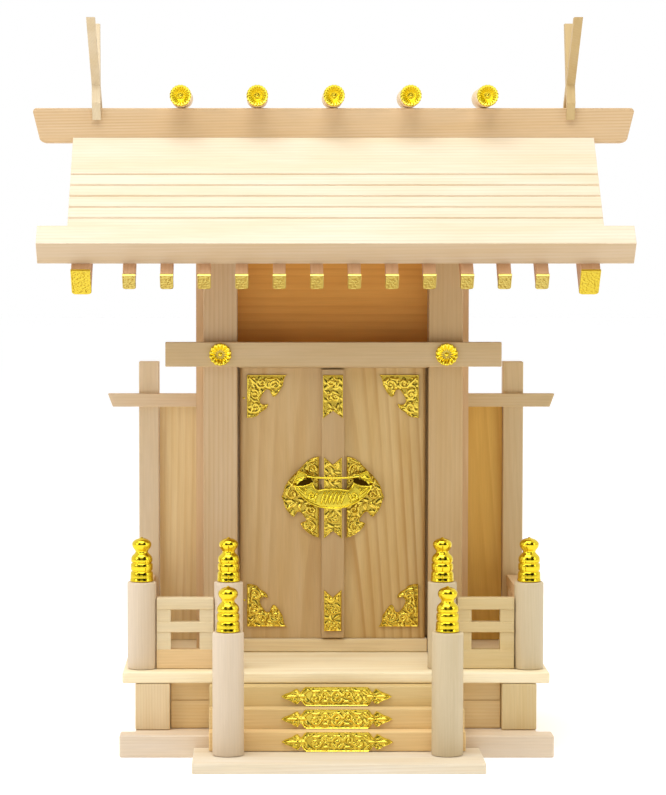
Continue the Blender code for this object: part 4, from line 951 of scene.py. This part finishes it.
for side, sign in (("Left", -1), ("Right", 1)):
    tab = [(sign * u, v) for u, v in tabHalf]
    piece = stamped("shrimpLockTab" + side, tab, [leaf(sign * 18.6, 13.6, sign * 23.6, 12.0, 0.1, 1.1)],
                    onFront(0, lockFront + 1.9, lockZ), 1.3, -0.9, cell=0.3, rim=0.8, rimHeight=1.0, fill=0)
    register(piece, giltLock, "left_leaf", smooth=True)
    # a dark sheet behind each tab: painted shadow where tab and body leave a gap
    piece = prism("shrimpLockPaintedShadow" + side, [(sign * u * mm, (lockZ + v) * mm) for u, v in paintedShadowHalf],
                  ((lockFront + 0.9) * mm, (lockFront + 2.6) * mm), "y", 0.3)
    register(piece, giltPaintedShadow, "left_leaf")
    xs = sorted((sign * 18.6 * mm, sign * 23.4 * mm))
    piece = board("shrimpLockLeg" + side, xs, ((lockFront + 1.6) * mm, lockBack * mm),
                  ((lockZ + 8.6) * mm, (lockZ + 12.4) * mm), 0.3)
    register(piece, giltTurned, "left_leaf")
print("door fittings built")


# the pillars' rebates, just behind the leaves' outer edges
rebate = {"wide": 2.6, "thick": 2.5, "gap": 0.3, "short": 3.4}
for side, sign in (("left", -1), ("right", 1)):
    inner = box("pillar_" + side)[0][1 if sign < 0 else 0]
    _, ys, zs = box("door_" + side)
    piece = board("pillarRebate" + side.capitalize(), sorted((inner, inner - sign * rebate["wide"] * mm)),
                  (ys[1] + rebate["gap"] * mm, ys[1] + (rebate["gap"] + rebate["thick"]) * mm),
                  (zs[0] + rebate["short"] * mm, zs[1] - rebate["short"] * mm), 0.2)
    register(piece, woods["pillar" + side.capitalize()])


# small dome nails that pin the leaves' rails
nails = [(-57.4, 214.5, "left"), (50.6, 213.7, "right"), (-57.0, 83.4, "left"), (50.0, 83.4, "right")]
doorFace = box("door_left")[1][0] / mm
for number, (x, z, side) in enumerate(nails):
    dome = [(0, 0.45), (0.35, 0.4), (0.6, 0.2), (0.7, 0.0), (0.7, -0.1), (0, -0.1)]
    piece = turned(f"leafNail{number + 1}", dome, (x * mm, doorFace * mm, z * mm), 20, "front")
    register(piece, giltTurned, side + "_leaf", smooth=True)


# floor, light and camera

wide = 9
corners = [(-wide, -wide, 0), (wide, -wide, 0), (wide, wide, 0), (-wide, wide, 0)]
floor = fromArrays("paleFloor", corners, [(0, 1, 2, 3)])
paper, _, shader = finish("whitePaper")
paperLook = {"Base Color": grey(0.93), "Roughness": 0.9, "Emission Color": grey(1), "Emission Strength": 0.22}
for key, value in paperLook.items():
    shader.inputs[key].default_value = value
floor.data.materials.append(paper)

world = bpy.data.worlds.new("studio")
scene.world = world
world.use_nodes = True
tree = world.node_tree
tree.nodes["Background"].inputs["Strength"].default_value = 1.0
way = addNode(tree, "ShaderNodeTexCoord")
parts = addNode(tree, "ShaderNodeSeparateXYZ", {0: way.outputs["Generated"]}).outputs
forward = ramp(tree, times(tree, parts["Y"], -1.0), (0.15, 0), (0.45, 1))
band = ramp(tree, parts["Z"], (0.0, 0.62), (0.10, 0.62), (0.15, 0.06), (0.38, 0.04), (0.46, 0.9), (1.0, 1.0))
stripes = ramp(tree, mapped(tree, parts["X"], (-1.0, 1.0), (0.0, 1.0)),
               (0.0, 0.9), (0.22, 1.0), (0.27, 0.08), (0.36, 0.15), (0.40, 1), (0.60, 1), (0.64, 0.1),
               (0.80, 0.05), (0.85, 0.8))
room = mix(tree, forward, grey(1.0), mix(tree, 1.0, band, stripes, blend_type="MULTIPLY"))
tree.links.new(room, tree.nodes["Background"].inputs["Color"])

lights = {
    "topSoftbox": dict(at=(-0.2, -0.5, 1.5), size=(1.2, 0.8), power=12, colour=(1.0, 0.99, 0.97)),
    "leftSoftbox": dict(at=(-1.5, -0.9, 0.8), size=(0.45, 0.8), power=5.5, colour=(1.0, 0.97, 0.97)),
    "rightSoftbox": dict(at=(1.5, -0.8, 0.7), size=(0.4, 0.9), power=4, colour=(1.0, 0.92, 0.74)),
}
aim = Vector((0, 0, 0.2))
for name, facts in lights.items():
    data = bpy.data.lights.new(name, "AREA")
    data.shape = "RECTANGLE"
    data.size, data.size_y = facts["size"]
    data.energy = facts["power"]
    data.color = facts["colour"]
    lamp = placed(name, data)
    lamp.location = facts["at"]
    lamp.rotation_euler = (aim - Vector(facts["at"])).to_track_quat("-Z", "Y").to_euler()

scene.view_settings.view_transform = "Standard"   # a plain studio picture, white paper stays white
scene.view_settings.look = "None"

lens = {"at": (-0.0457, -1.837, 0.3225), "pitch": 3.285, "focal": 132.0, "shift": (0.0893, 0.0)}
cameraData = bpy.data.cameras.new("photoView")
cameraData.lens = lens["focal"]
cameraData.sensor_width = 36.0
cameraData.shift_x, cameraData.shift_y = lens["shift"]
cameraData.clip_start = 0.05
camera = placed("photoView", cameraData)
camera.location = lens["at"]
camera.rotation_euler = (math.radians(90 - lens["pitch"]), 0, 0)
scene.camera = camera
print("light and camera set")
